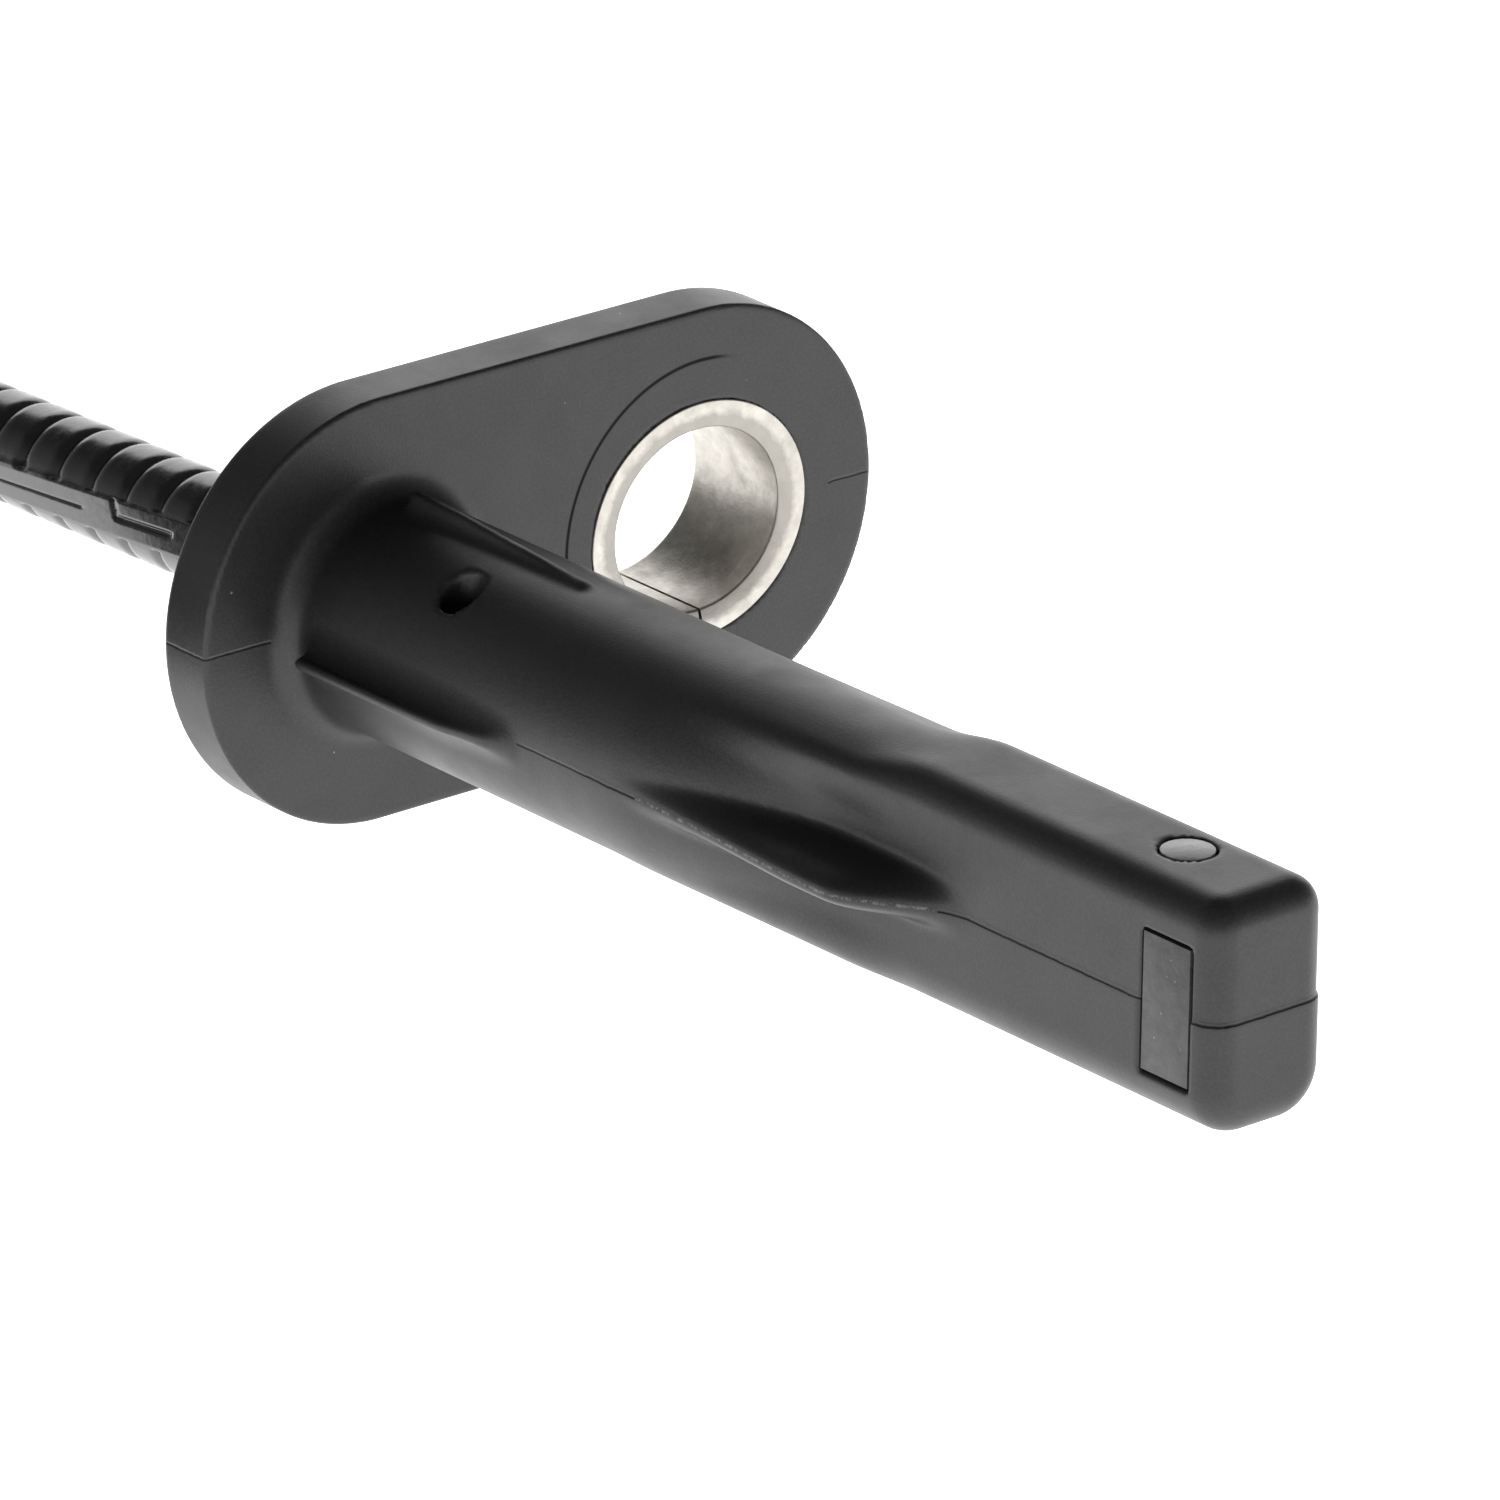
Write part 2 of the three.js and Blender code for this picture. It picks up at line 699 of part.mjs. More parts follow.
// A strap round the whole coil with its locking head on the outside.
function coilTie() {
  const [width, height] = [coilColumns * cableDiameter, coilLayers * cableDiameter];
  const loop = roundedRectangle(
    width + 2 * (tieThickness + tieGap),
    height + 2 * (tieThickness + tieGap),
    cableRadius,
  );
  loop.holes.push(roundedRectangle(width + 2 * tieGap, height + 2 * tieGap, cableRadius / 2));
  const strap = prism(loop, -tieWidth / 2, tieWidth / 2, 0, 4);
  const headX = width / 2 + tieGap + tieThickness / 2;
  const head = block(
    [headX, -tieHeadSize / 2, -tieHeadSize / 2],
    [headX + tieHeadSize, tieHeadSize / 2, tieHeadSize / 2],
  );
  const tie = toGeometry(join(strap, head)).translate(coilMeanRadius, 0, 0);
  tie.rotateZ(THREE.MathUtils.degToRad(tieAngle));
  return tie.translate(coilCentreX, coilCentreY, (coilBaseZ + coilTopZ) / 2);
}

// The tail leaves the left edge of the coil's top layer and reaches into the connector's boot.
const tailRoute = [
  [0.00, 0.0, 0],
  [0.07, 0.0, 0.04],
  [0.14, 0.03, 0.145],
  [0.21, 0.16, 0.3],
  [0.28, 0.42, 0.475],
  [0.35, 0.7, 0.65],
  [0.42, 0.91, 0.81],
  [0.48, 0.99, 0.92],
  [0.54, 1.0, 0.985],
  [0.62, 1.0, 1],
  [0.72, 1.0, 1],
  [0.82, 1.0, 1],
  [0.91, 1.0, 1],
  [1.00, 1.0, 1],
];

function cableTail() {
  const startZ = coilTopZ - cableRadius;
  const endY = plugRearY - plugRearSeatDepth + sealLength + plugGap;
  const points = tailRoute.map(([run, height, across]) => new THREE.Vector3(
    THREE.MathUtils.lerp(coilCentreX - outerTurnRadius, plugX, across),
    THREE.MathUtils.lerp(coilEntryY, endY, run),
    THREE.MathUtils.lerp(startZ, plugZ, height),
  ));
  return cableTube(points, 12);
}

// The connector: a shrouded housing with a latch nose and two guide ribs.
function latchNose() {
  const profile = new THREE.Shape();
  profile.moveTo(0, -1);
  profile.lineTo(0, 0);
  profile.lineTo(latchLength * 0.8, latchRise);
  profile.lineTo(latchLength, latchRise);
  profile.lineTo(latchLength, -1);
  profile.closePath();
  const nose = new THREE.ExtrudeGeometry(profile, { depth: latchWidth, bevelEnabled: false });
  nose.rotateX(Math.PI / 2).rotateZ(Math.PI / 2);
  return nose.translate(-latchWidth / 2, plugTipY + latchFromTip, plugHeight / 2);
}

function guideRib(side) {
  const z = -plugHeight / 2 - guideRibRise;
  const x = side * (plugWidth / 2 - plugCornerRadius);
  return block(
    [x - guideRibWidth / 2, plugTipY + plugWall, z],
    [x + guideRibWidth / 2, plugRearY - plugWall, -plugHeight / 2 + plugWall / 2],
  );
}

function mouthShape(inset) {
  return roundedRectangle(
    plugWidth - 2 * (plugWall + inset),
    plugHeight - 2 * (plugWall + inset),
    plugCornerRadius - plugWall / 2 - inset,
  );
}

function pinBlock(side, grow, frontY, backY) {
  const x = (side * pinPitch) / 2;
  const [halfWidth, halfThickness] = [pinWidth / 2 + grow, pinThickness / 2 + grow];
  return block([x - halfWidth, frontY, -halfThickness], [x + halfWidth, backY, halfThickness]);
}

function connectorHousing() {
  const outline = roundedRectangle(plugWidth, plugHeight, plugCornerRadius);
  const mouthFloorY = plugTipY + plugMouthDepth;
  const shell = join(
    prism(outline, plugTipY, plugRearY, plugEdgeRound, 6),
    latchNose(),
    guideRib(-1),
    guideRib(1),
  );
  return toGeometry(cut(
    shell,
    prism(mouthShape(0), plugTipY - 1, mouthFloorY, 0, 6),
    pinBlock(-1, pinGap, mouthFloorY - 1, pinRearY + pinGap),
    pinBlock(1, pinGap, mouthFloorY - 1, pinRearY + pinGap),
    bar(sealRadius + lockGap, plugRearY - plugRearSeatDepth, plugRearY + 1),
  )).translate(plugX, 0, plugZ);
}

function contactPin(side) {
  const tipOfPinY = plugTipY + plugMouthDepth - lockThickness - pinReach;
  const blade = roundedRectangle(pinWidth, pinThickness, pinThickness * 0.25);
  const pin = prism(blade, tipOfPinY, pinRearY, pinThickness / 8, 2);
  return pin.translate(plugX + (side * pinPitch) / 2, 0, plugZ);
}

function secondaryLock() {
  const backY = plugTipY + plugMouthDepth;
  const plate = toSolid(prism(mouthShape(lockGap), backY - lockThickness, backY, 0, 6));
  return toGeometry(cut(
    plate,
    pinBlock(-1, pinGap, backY - lockThickness - 1, backY + 1),
    pinBlock(1, pinGap, backY - lockThickness - 1, backY + 1),
  )).translate(plugX, 0, plugZ);
}

// A ribbed seal round the cable in the back of the housing.
function rearSeal() {
  const frontY = plugRearY - plugRearSeatDepth;
  const step = sealLength / 4;
  const inner = cableRadius * 0.6;
  const profile = [[0, frontY], [sealRadius - sealRibRise, frontY]];
  for (let k = 0; k < 2; k += 1) {
    const y = frontY + 2 * k * step;
    profile.push([sealRadius, y + step * 0.7], [sealRadius, y + step]);
    profile.push([sealRadius - sealRibRise, y + step * 1.7]);
  }
  profile.push([sealRadius - sealRibRise, frontY + sealLength], [inner, frontY + sealLength]);
  profile.push([0, frontY + sealLength]);
  const seal = new THREE.LatheGeometry(
    profile.map(([radius, y]) => new THREE.Vector2(radius, y)),
    20,
  );
  return seal.translate(plugX, 0, plugZ);
}

// A tapered boot from the housing to the cable.
function cableBoot() {
  const bore = cableRadius + reliefSeatGap;
  const profile = [
    [bore, plugRearY],
    [bootRadius, plugRearY],
    [bootRadius, plugRearY + bootCollarLength],
    [bootRadius - bootCollarStep, plugRearY + bootCollarLength + bootCollarStep],
    [bootTipRadius, plugRearY + bootLength - bootEdgeRound],
    [bootTipRadius - bootEdgeRound, plugRearY + bootLength],
    [bore, plugRearY + bootLength],
    [bore, plugRearY],
  ].map(([radius, y]) => new THREE.Vector2(radius, y));
  return new THREE.LatheGeometry(profile, 24).translate(plugX, 0, plugZ);
}

// Materials.

function matte(color, roughness = 0.65) {
  return new THREE.MeshStandardMaterial({ color, roughness, metalness: 0 });
}

function metal(color, roughness = 0.35) {
  return new THREE.MeshStandardMaterial({ color, roughness, metalness: 1 });
}

const materials = {
  body: matte(0x2c2d2e, 0.62),
  carrier: matte(0x3b3c3e, 0.7),
  chip: matte(0x17181a, 0.5),
  capacitor: matte(0x6b4a2a, 0.55),
  bush: metal(0xb9b1a4, 0.38),
  tinned: metal(0xc9c6c0, 0.3),
  copper: metal(0xb87245, 0.35),
  relief: matte(0x0d0d0f, 0.2),
  jacket: matte(0x141416, 0.45),
  tie: matte(0x1c1c1e, 0.5),
  plug: matte(0x1f2022, 0.5),
  lock: matte(0x8c8f92, 0.55),
  seal: matte(0x9a4a2c, 0.6),
  boot: matte(0x161617, 0.6),
};

function piece(name, geometry, material) {
  const mesh = new THREE.Mesh(geometry, material);
  mesh.name = name;
  return mesh;
}

const probe = new THREE.Group();
probe.add(
  piece('sensor_body', sensorBody(), materials.body),
  piece('mounting_bush', mountingBush(), materials.bush),
  piece('chip_carrier', chipCarrier(), materials.carrier),
  piece('sensor_chip', sensorChip(), materials.chip),
  piece('capacitor', capacitor(), materials.capacitor),
  piece('chip_lead_lower', chipLead(-1), materials.tinned),
  piece('chip_lead_upper', chipLead(1), materials.tinned),
  piece('crimp_lower', crimp(-1), materials.tinned),
  piece('crimp_upper', crimp(1), materials.tinned),
  piece('wire_core_lower', wireCore(-1), materials.copper),
  piece('wire_core_upper', wireCore(1), materials.copper),
  piece('strain_relief', strainRelief(), materials.relief),
);

const lead = new THREE.Group();
lead.add(
  piece('cable_lead', cableLead(), materials.jacket),
  piece('cable_coil', cableCoil(), materials.jacket),
  piece('coil_tie', coilTie(), materials.tie),
  piece('cable_tail', cableTail(), materials.jacket),
);

const connector = new THREE.Group();
connector.add(
  piece('connector_housing', connectorHousing(), materials.plug),
  piece('secondary_lock', secondaryLock(), materials.lock),
  piece('contact_pin_left', contactPin(-1), materials.tinned),
  piece('contact_pin_right', contactPin(1), materials.tinned),
  piece('rear_seal', rearSeal(), materials.seal),
  piece('cable_boot', cableBoot(), materials.boot),
);

// The part stands on its flange, with the origin under the middle of the sensor.
const sensor = new THREE.Group();
sensor.add(probe, lead, connector);
const middleX = boltPitch / 2;
const middleY = (reliefEndY + tipY) / 2;
sensor.position.set(-middleX, -middleY, -floorZ);

export default sensor;
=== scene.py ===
import math

import bmesh
import bpy
import numpy as np
from mathutils import Matrix, Vector


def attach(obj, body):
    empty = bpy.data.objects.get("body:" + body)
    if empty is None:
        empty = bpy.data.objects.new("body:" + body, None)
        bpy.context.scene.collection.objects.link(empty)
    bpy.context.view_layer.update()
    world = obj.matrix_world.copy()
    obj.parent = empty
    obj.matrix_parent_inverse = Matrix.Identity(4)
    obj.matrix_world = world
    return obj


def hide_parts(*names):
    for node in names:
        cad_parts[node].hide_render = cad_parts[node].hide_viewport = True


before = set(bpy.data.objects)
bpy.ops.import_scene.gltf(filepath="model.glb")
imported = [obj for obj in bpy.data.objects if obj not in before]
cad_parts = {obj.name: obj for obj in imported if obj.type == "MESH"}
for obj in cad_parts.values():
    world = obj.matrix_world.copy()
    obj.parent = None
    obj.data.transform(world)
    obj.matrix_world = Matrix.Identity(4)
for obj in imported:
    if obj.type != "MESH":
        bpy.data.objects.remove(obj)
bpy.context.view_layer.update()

# Shapes are worked out in millimetres with the probe axis along Y, the flange seat
# at y = 0 and the bolt axis at +X. SHIFT brings them into the row frame.
MM = 0.001
SHIFT = np.array([-8.55, 8.725, 9.35])

# The camera: azimuth, elevation and roll in degrees, lens in millimetres, place in metres
CAMERA_ANGLES = (-40.326, 21.907, 0.873)
CAMERA_LENS, CAMERA_SENSOR = 349.1, 36.0
CAMERA_PLACE = (-0.359064, -0.427765, 0.228365)

# The probe: a round barrel that turns into a flat blade
BARREL_RADIUS = 5.0
TIP_Y = -54.55
BLADE_WIDTH = 6.1
BLADE_TOP = 5.0
BLADE_BOTTOM = 4.95
BLADE_SIDE_SHIFT = 0.35
BLADE_UPPER_CORNER = 1.45
BLADE_LOWER_CORNER = 2.1
BLADE_START_Y = TIP_Y + 14.2
TIP_ROUND = 1.3
SIDE_SCOOP_LENGTH = 19.8
SIDE_SCOOP_RUN_IN = 13.6
CROWN_BLEND_LENGTH = 4.0
CROWN_BLEND_START = 3.9
KEEL_BLEND_LENGTH = 5.9
KEEL_RISE, KEEL_RISE_LENGTH = 0.5, 17.5
KEEL_WIDE_Y, KEEL_NARROW_Y = -32.0, -22.0
KEEL_WIDE_ANGLE, KEEL_NARROW_ANGLE = 23.0, 9.0
KEEL_CREST_ANGLE = 1.0
FLANK_ANGLE = 35.0
CROWN_ANGLE = 71.0
PARTING_STEP, PARTING_STEP_START_Y, PARTING_STEP_RUN_IN = 0.05, -18.0, 3.0

# Openings in the probe
HOLE_X, HOLE_Y, HOLE_RADIUS, HOLE_FLOOR_Z = -2.7, -8.55, 0.93, 1.6
WINDOW_TIP_Y, WINDOW_HEAD_Y, WINDOW_HALF_HEIGHT = -53.28, -50.32, 3.03
PAD_X, PAD_Y, PAD_HOLE_RADIUS, PAD_FLOOR_Z = 0.65, -49.15, 1.19, 2.2

# Guide fins: the distance of each crest from the probe axis, at stations along it
SIDE_FIN_Y = (-15.4, -14.6, -13.2, -11.0, -8.0, -1.4, -0.4)
SIDE_FIN_CREST = (3.6, 4.75, 5.55, 6.0, 6.15, 6.25, 6.25)
CROWN_FIN_Y = (-13.9, -13.0, -10.2, -7.6, -5.0, -3.0)
CROWN_FIN_CREST = (4.4, 5.2, 5.45, 5.6, 5.8, 5.85)
FIN_TIP_Y, FIN_BACK_Y = -15.6, -1.7
FIN_ROOT, FIN_END_ROUND = 3.0, 0.5
FIN_HALF_WIDTH, FIN_CREST_ROUND = 0.2, 0.14
FIN_WIDENING, FIN_WIDENING_COSINE = 0.25, 0.96
SIDE_FIN_DROP = 0.32
LOWER_FIN_DROP = 0.4
SIDE_FIN_FILLET, CROWN_FIN_FILLET = 0.9, 0.4

# The flange and the bosses behind it
PROBE_ROOT_Y, BASE_FILLET = 1.5, 1.1
FLANGE_RADIUS = 9.35
FLANGE_THICKNESS = 2.8
FLANGE_FRONT_ROUND, FLANGE_BACK_ROUND = 0.14, 0.3
BOLT_PITCH = 17.1
BOSS_START_Y, BOSS_ROUND, BOSS_FILLET, BOSS_BASE_FILLET = 1.0, 0.5, 0.4, 0.5
BUSH_BOSS_RADIUS = 7.4
CABLE_BOSS_RADIUS, CABLE_BOSS_BACK_Y = 4.4, 7.5
WEB_HALF_HEIGHT, WEB_BACK_Y = 3.2, 4.8

# The mould's marks, painted in colour: highlight flecks on the burrs along the keel, shade in the
# parting line, and shade in the ring round the bush
BURRS_MIDDLE_Y, BURRS_HALF_LENGTH = -30.6, 8.2
PROBE_LINE_END_Y = -14.9
LINE_FROM_PROBE_AXIS, LINE_FROM_BOLT_AXIS = 5.9, 7.0
WITNESS_RADIUS = 7.2
WITNESS_FADE_START, WITNESS_FADE_END = 4.5, 6.5

# The bush, slightly oval
BUSH_OUTER, BUSH_BORE = 5.6, 4.3
BUSH_FRONT_Y, BUSH_BACK_Y = -0.05, 5.75
BUSH_X, BUSH_Z = 17.0, -0.1
BUSH_WIDE, BUSH_HIGH = 1.035, 0.945
BUSH_CHAMFER_RADIUS, BUSH_CHAMFER_DEPTH = 5.0, 0.16
BUSH_SEAM_ANGLE, BUSH_SEAM_HALF_GAP = 272.0, 0.09

# The ribbed sleeve, and the bands along its sides
RELIEF_RADIUS = 2.34
RELIEF_START_Y, RELIEF_END_Y = 3.1, 37.1
RELIEF_DROP = 0.4
RELIEF_SLOPE, RELIEF_LEVEL_Y = 0.03, 27.0
RIB_PITCH, RIB_PHASE_Y = 2.3, 7.85
RIBS_START_Y, RIBS_END_Y = 8.6, RELIEF_END_Y - 3.2
RIB_HEIGHT = 0.03
RIB_GROOVE_DEPTH, RIB_GROOVE_REACH = 0.12, 0.26
RIB_CREASE_DEPTH, RIB_CREASE_REACH = 0.05, 0.09
BAND_TWIST, BAND_MIDDLE_Y = 1.45, 14.9
BAND_DEPTH, BAND_HALF_WIDTH = 0.1, 0.34
WIDE_GROOVE_START_Y, WIDE_GROOVE_END_Y = 11.3, 15.2
WIDE_GROOVE_DEPTH, WIDE_GROOVE_REACH = 0.16, 0.14
THIN_GROOVE_START_Y, THIN_GROOVE_DEPTH, THIN_GROOVE_REACH = 17.3, 0.07, 0.06
GROOVE_LINK_Y, GROOVE_LINK_REACH = 15.1, 0.12
SOCKET_GAP, SOCKET_START_Y = 0.1, 3.0
BORE_GAP, BORE_DEPTH = 0.06, 5.9

# The cable
CABLE_DIAMETER = 3.4


def place(points):
    """Model millimetres to row metres."""
    return (np.asarray(points, float) + SHIFT) * MM


def lerp(a, b, share):
    """The value at a share of the way from a to b."""
    return a + (b - a) * share


def ramp(value):
    """A smooth rise from 0 at 0 to 1 at 1."""
    share = np.clip(value, 0.0, 1.0)
    return share * share * (3.0 - 2.0 * share)


# Camera


def add_camera():
    """The camera at the photograph's viewing angle."""
    azimuth, elevation, roll = (math.radians(angle) for angle in CAMERA_ANGLES)
    back = Vector(
        (
            math.sin(azimuth) * math.cos(elevation),
            -math.cos(azimuth) * math.cos(elevation),
            math.sin(elevation),
        )
    )
    side = Vector((math.cos(azimuth), math.sin(azimuth), 0.0))
    up = back.cross(side)
    right = side * math.cos(roll) + up * math.sin(roll)
    top = up * math.cos(roll) - side * math.sin(roll)
    data = bpy.data.cameras.new("camera")
    data.lens, data.sensor_width = CAMERA_LENS, CAMERA_SENSOR
    data.clip_start, data.clip_end = 0.01, 20.0
    camera = bpy.data.objects.new("camera", data)
    matrix = Matrix((right, top, back)).transposed().to_4x4()
    matrix.translation = CAMERA_PLACE
    camera.matrix_world = matrix
    bpy.context.scene.collection.objects.link(camera)
    bpy.context.scene.camera = camera


# Node materials


class Nodes:
    """A short way to write a material's node tree."""

    def __init__(self, name):
        self.material = bpy.data.materials.new(name)
        self.material.use_nodes = True
        self.tree = self.material.node_tree
        self.shader = self.tree.nodes["Principled BSDF"]
        self.coords = self.tree.nodes.new("ShaderNodeTexCoord").outputs["Object"]

    def link(self, value, socket):
        if isinstance(value, bpy.types.NodeSocket):
            self.tree.links.new(value, socket)
        else:
            socket.default_value = value

    def math(self, operation, a, b=0.0):
        node = self.tree.nodes.new("ShaderNodeMath")
        node.operation = operation
        self.link(a, node.inputs[0])
        self.link(b, node.inputs[1])
        return node.outputs[0]

    def noise(self, size_mm, detail=3.0, rough=0.5, stretch=None):
        node = self.tree.nodes.new("ShaderNodeTexNoise")
        node.inputs["Scale"].default_value = 1.0 / (size_mm * MM)
        node.inputs["Detail"].default_value = detail
        node.inputs["Roughness"].default_value = rough
        coords = self.coords
        if stretch is not None:
            mapping = self.tree.nodes.new("ShaderNodeMapping")
            mapping.inputs["Scale"].default_value = stretch
            self.link(self.coords, mapping.inputs["Vector"])
            coords = mapping.outputs[0]
        self.link(coords, node.inputs["Vector"])
        return node.outputs[0]

    def specks(self, spacing_mm, size_share, kept_share):
        node = self.tree.nodes.new("ShaderNodeTexVoronoi")
        node.inputs["Scale"].default_value = 1.0 / (spacing_mm * MM)
        self.link(self.coords, node.inputs["Vector"])
        near = self.fit(node.outputs["Distance"], size_share * 0.6, size_share, 1.0, 0.0)
        split = self.tree.nodes.new("ShaderNodeSeparateColor")
        self.link(node.outputs["Color"], split.inputs[0])
        picked = self.math("GREATER_THAN", split.outputs[0], 1.0 - kept_share)
        return self.math("MULTIPLY", near, picked)

    def fit(self, value, low, high, out_low, out_high):
        node = self.tree.nodes.new("ShaderNodeMapRange")
        self.link(value, node.inputs["Value"])
        node.inputs["From Min"].default_value = low
        node.inputs["From Max"].default_value = high
        node.inputs["To Min"].default_value = out_low
        node.inputs["To Max"].default_value = out_high
        return node.outputs["Result"]

    def mix(self, share, a, b):
        node = self.tree.nodes.new("ShaderNodeMix")
        node.data_type = "RGBA"
        self.link(share, node.inputs["Factor"])
        for value, key in ((a, "A"), (b, "B")):
            socket = next(s for s in node.inputs if s.name == key and s.type == "RGBA")
            self.link(tuple(value) + (1.0,) if isinstance(value, tuple) else value, socket)
        return next(s for s in node.outputs if s.type == "RGBA")

    def axes(self):
        node = self.tree.nodes.new("ShaderNodeSeparateXYZ")
        self.link(self.coords, node.inputs[0])
        return node.outputs

    def bump(self, height, depth_mm, after=None):
        node = self.tree.nodes.new("ShaderNodeBump")
        node.inputs["Distance"].default_value = depth_mm * MM
        node.inputs["Strength"].default_value = 1.0
        self.link(height, node.inputs["Height"])
        if after is not None:
            self.link(after, node.inputs["Normal"])
        return node.outputs[0]

    def finish(self, color, roughness, normal=None, **plain):
        self.link(color, self.shader.inputs["Base Color"])
        self.link(roughness, self.shader.inputs["Roughness"])
        if normal is not None:
            self.link(normal, self.shader.inputs["Normal"])
        for name, value in plain.items():
            self.shader.inputs[name.replace("_", " ")].default_value = value
        return self.material


def shade(color, gain):
    return tuple(channel * gain for channel in color)


def moulded(name, color, rough=(0.45, 0.6)):
    """Moulded plastic or rubber with a fine grain, mottling and a few dust specks."""
    n = Nodes(name)
    broad = n.noise(6.0, 4.0, 0.6)
    fine = n.noise(0.16, 2.0, 0.6)
    tone = n.mix(n.fit(broad, 0.3, 0.7, 0.0, 1.0), shade(color, 0.82), shade(color, 1.2))
    tone = n.mix(n.fit(fine, 0.35, 0.75, 0.0, 0.35), tone, shade(color, 1.5))
    tone = n.mix(n.specks(1.1, 0.06, 0.03), tone, (0.22, 0.22, 0.22))
    roughness = n.fit(n.noise(2.5, 3.0, 0.6), 0.3, 0.7, *rough)
    return n.finish(tone, roughness, n.bump(fine, 0.006))


def carrier_plastic():
    """The carrier's plastic: mottled in its windows, and glossier on its round pad, which is
    lightened with painted light.
    """
    n = Nodes("carrier")
    mottle = n.noise(0.8, 4.0, 0.65)
    fine = n.noise(0.2, 2.0, 0.6)
    tone = n.mix(n.fit(mottle, 0.35, 0.65, 0.0, 1.0), (0.042, 0.042, 0.043), (0.07, 0.07, 0.07))
    tone = n.mix(n.specks(0.45, 0.12, 0.12), tone, (0.2, 0.2, 0.2))
    behind_windows = (SHIFT[1] + WINDOW_HEAD_Y) * MM
    pad = n.fit(n.axes()[1], behind_windows - 0.08 * MM, behind_windows + 0.02 * MM, 0.0, 0.9)
    # Painted light on the round pad: its recess is shaded, and its colour is lightened to make up
    # for the shade.
    tone = n.mix(pad, tone, (0.36, 0.36, 0.365))
    gloss = n.fit(pad, 0.0, 1.0, 1.0, 0.45)
    roughness = n.math("MULTIPLY", n.fit(fine, 0.3, 0.7, 0.36, 0.5), gloss)
    return n.finish(tone, roughness, n.bump(mottle, 0.02, n.bump(fine, 0.012)))


def witness_ring_shade(n, x, y, z):
    """Painted shade in the thin ring that the bush's mould insert leaves on the flange, fading out
    towards one side.
    """
    across = n.math("SUBTRACT", x, (BUSH_X + SHIFT[0]) * MM)
    along = n.math("SUBTRACT", z, (BUSH_Z + SHIFT[2]) * MM)
    square = n.math("ADD", n.math("MULTIPLY", across, across), n.math("MULTIPLY", along, along))
    radius = n.math("POWER", square, 0.5)
    apart = n.math("ABSOLUTE", n.math("SUBTRACT", radius, WITNESS_RADIUS * MM))
    ring = n.fit(apart, 0.05 * MM, 0.13 * MM, 1.0, 0.0)
    fade = n.math("SUBTRACT", along, across)
    fade = n.fit(fade, WITNESS_FADE_START * MM, WITNESS_FADE_END * MM, 0.0, 1.0)
    from_seat = n.math("ABSOLUTE", n.math("SUBTRACT", y, SHIFT[1] * MM))
    front = n.math("LESS_THAN", from_seat, 0.1 * MM)
    return n.math("MULTIPLY", n.math("MULTIPLY", ring, fade), front)


def parting_line(n, x, y, z):
    """The mould's parting line: a groove, darkened with painted shade, and painted highlight
    flecks on the burrs along the keel.
    """
    wobble = n.fit(n.noise(0.7, 3.0, 0.7), 0.0, 1.0, -0.05 * MM, 0.05 * MM)
    offset = n.math("ABSOLUTE", n.math("ADD", n.math("SUBTRACT", z, SHIFT[2] * MM), wobble))
    line = n.fit(offset, 0.02 * MM, 0.085 * MM, 1.0, 0.0)
    keel = n.math("COMPARE", y, (SHIFT[1] + BURRS_MIDDLE_Y) * MM)
    keel.node.inputs[2].default_value = BURRS_HALF_LENGTH * MM
    burr_highlight = n.fit(n.noise(0.35, 4.0, 0.7), 0.45, 0.6, 0.0, 0.8)
    burr_highlight = n.math("MULTIPLY", n.math("MULTIPLY", line, burr_highlight), keel)
    on_probe = n.math("LESS_THAN", y, (SHIFT[1] + PROBE_LINE_END_Y) * MM)
    on_left = n.math("LESS_THAN", x, (SHIFT[0] - LINE_FROM_PROBE_AXIS) * MM)
    right_x = SHIFT[0] + BOLT_PITCH + LINE_FROM_BOLT_AXIS
    on_right = n.math("GREATER_THAN", x, right_x * MM)
    on_probe = n.math("SUBTRACT", on_probe, keel)
    where = n.math("MAXIMUM", on_probe, n.math("MAXIMUM", on_left, on_right))
    return n.math("MULTIPLY", line, where), burr_highlight


def body_plastic():
    """The probe's plastic: matte, with the marks that its mould left, painted as shade in their
    grooves and highlight flecks on the keel's burrs, and some scuffs.
    """
    n = Nodes("body")
    color = (0.0175, 0.0178, 0.0184)
    x, y, z = n.axes()
    broad = n.noise(7.0, 4.0, 0.6)
    fine = n.noise(0.13, 2.0, 0.6)
    line, burr_highlight = parting_line(n, x, y, z)
    witness_shade = witness_ring_shade(n, x, y, z)
    tone = n.mix(n.fit(broad, 0.3, 0.7, 0.0, 1.0), shade(color, 0.85), shade(color, 1.18))
    tone = n.mix(n.fit(fine, 0.4, 0.8, 0.0, 0.6), tone, shade(color, 2.2))
    scuff = n.noise(1.6, 5.0, 0.75, (1.0, 0.25, 1.0))
    tone = n.mix(n.fit(scuff, 0.62, 0.8, 0.0, 0.25), tone, shade(color, 3.0))
    tone = n.mix(n.specks(1.1, 0.06, 0.1), tone, (0.25, 0.25, 0.25))
    # Painted shade darkens the parting line's groove, which the bump below also cuts.
    tone = n.mix(n.math("MULTIPLY", line, 0.75), tone, shade(color, 0.25))
    # Painted shade: the witness ring's groove is darkened in colour, and made rough.
    tone = n.mix(witness_shade, tone, shade(color, 0.1))
    # Painted highlight flecks on the keel's burrs.
    tone = n.mix(burr_highlight, tone, (0.2, 0.2, 0.2))
    roughness = n.fit(n.noise(3.0, 4.0, 0.65), 0.3, 0.7, 0.37, 0.46)
    grain = n.bump(fine, 0.009)
    groove = n.bump(n.math("SUBTRACT", 1.0, line), 0.03, grain)
    roughness = n.math("MAXIMUM", roughness, witness_shade)
    return n.finish(tone, roughness, groove)


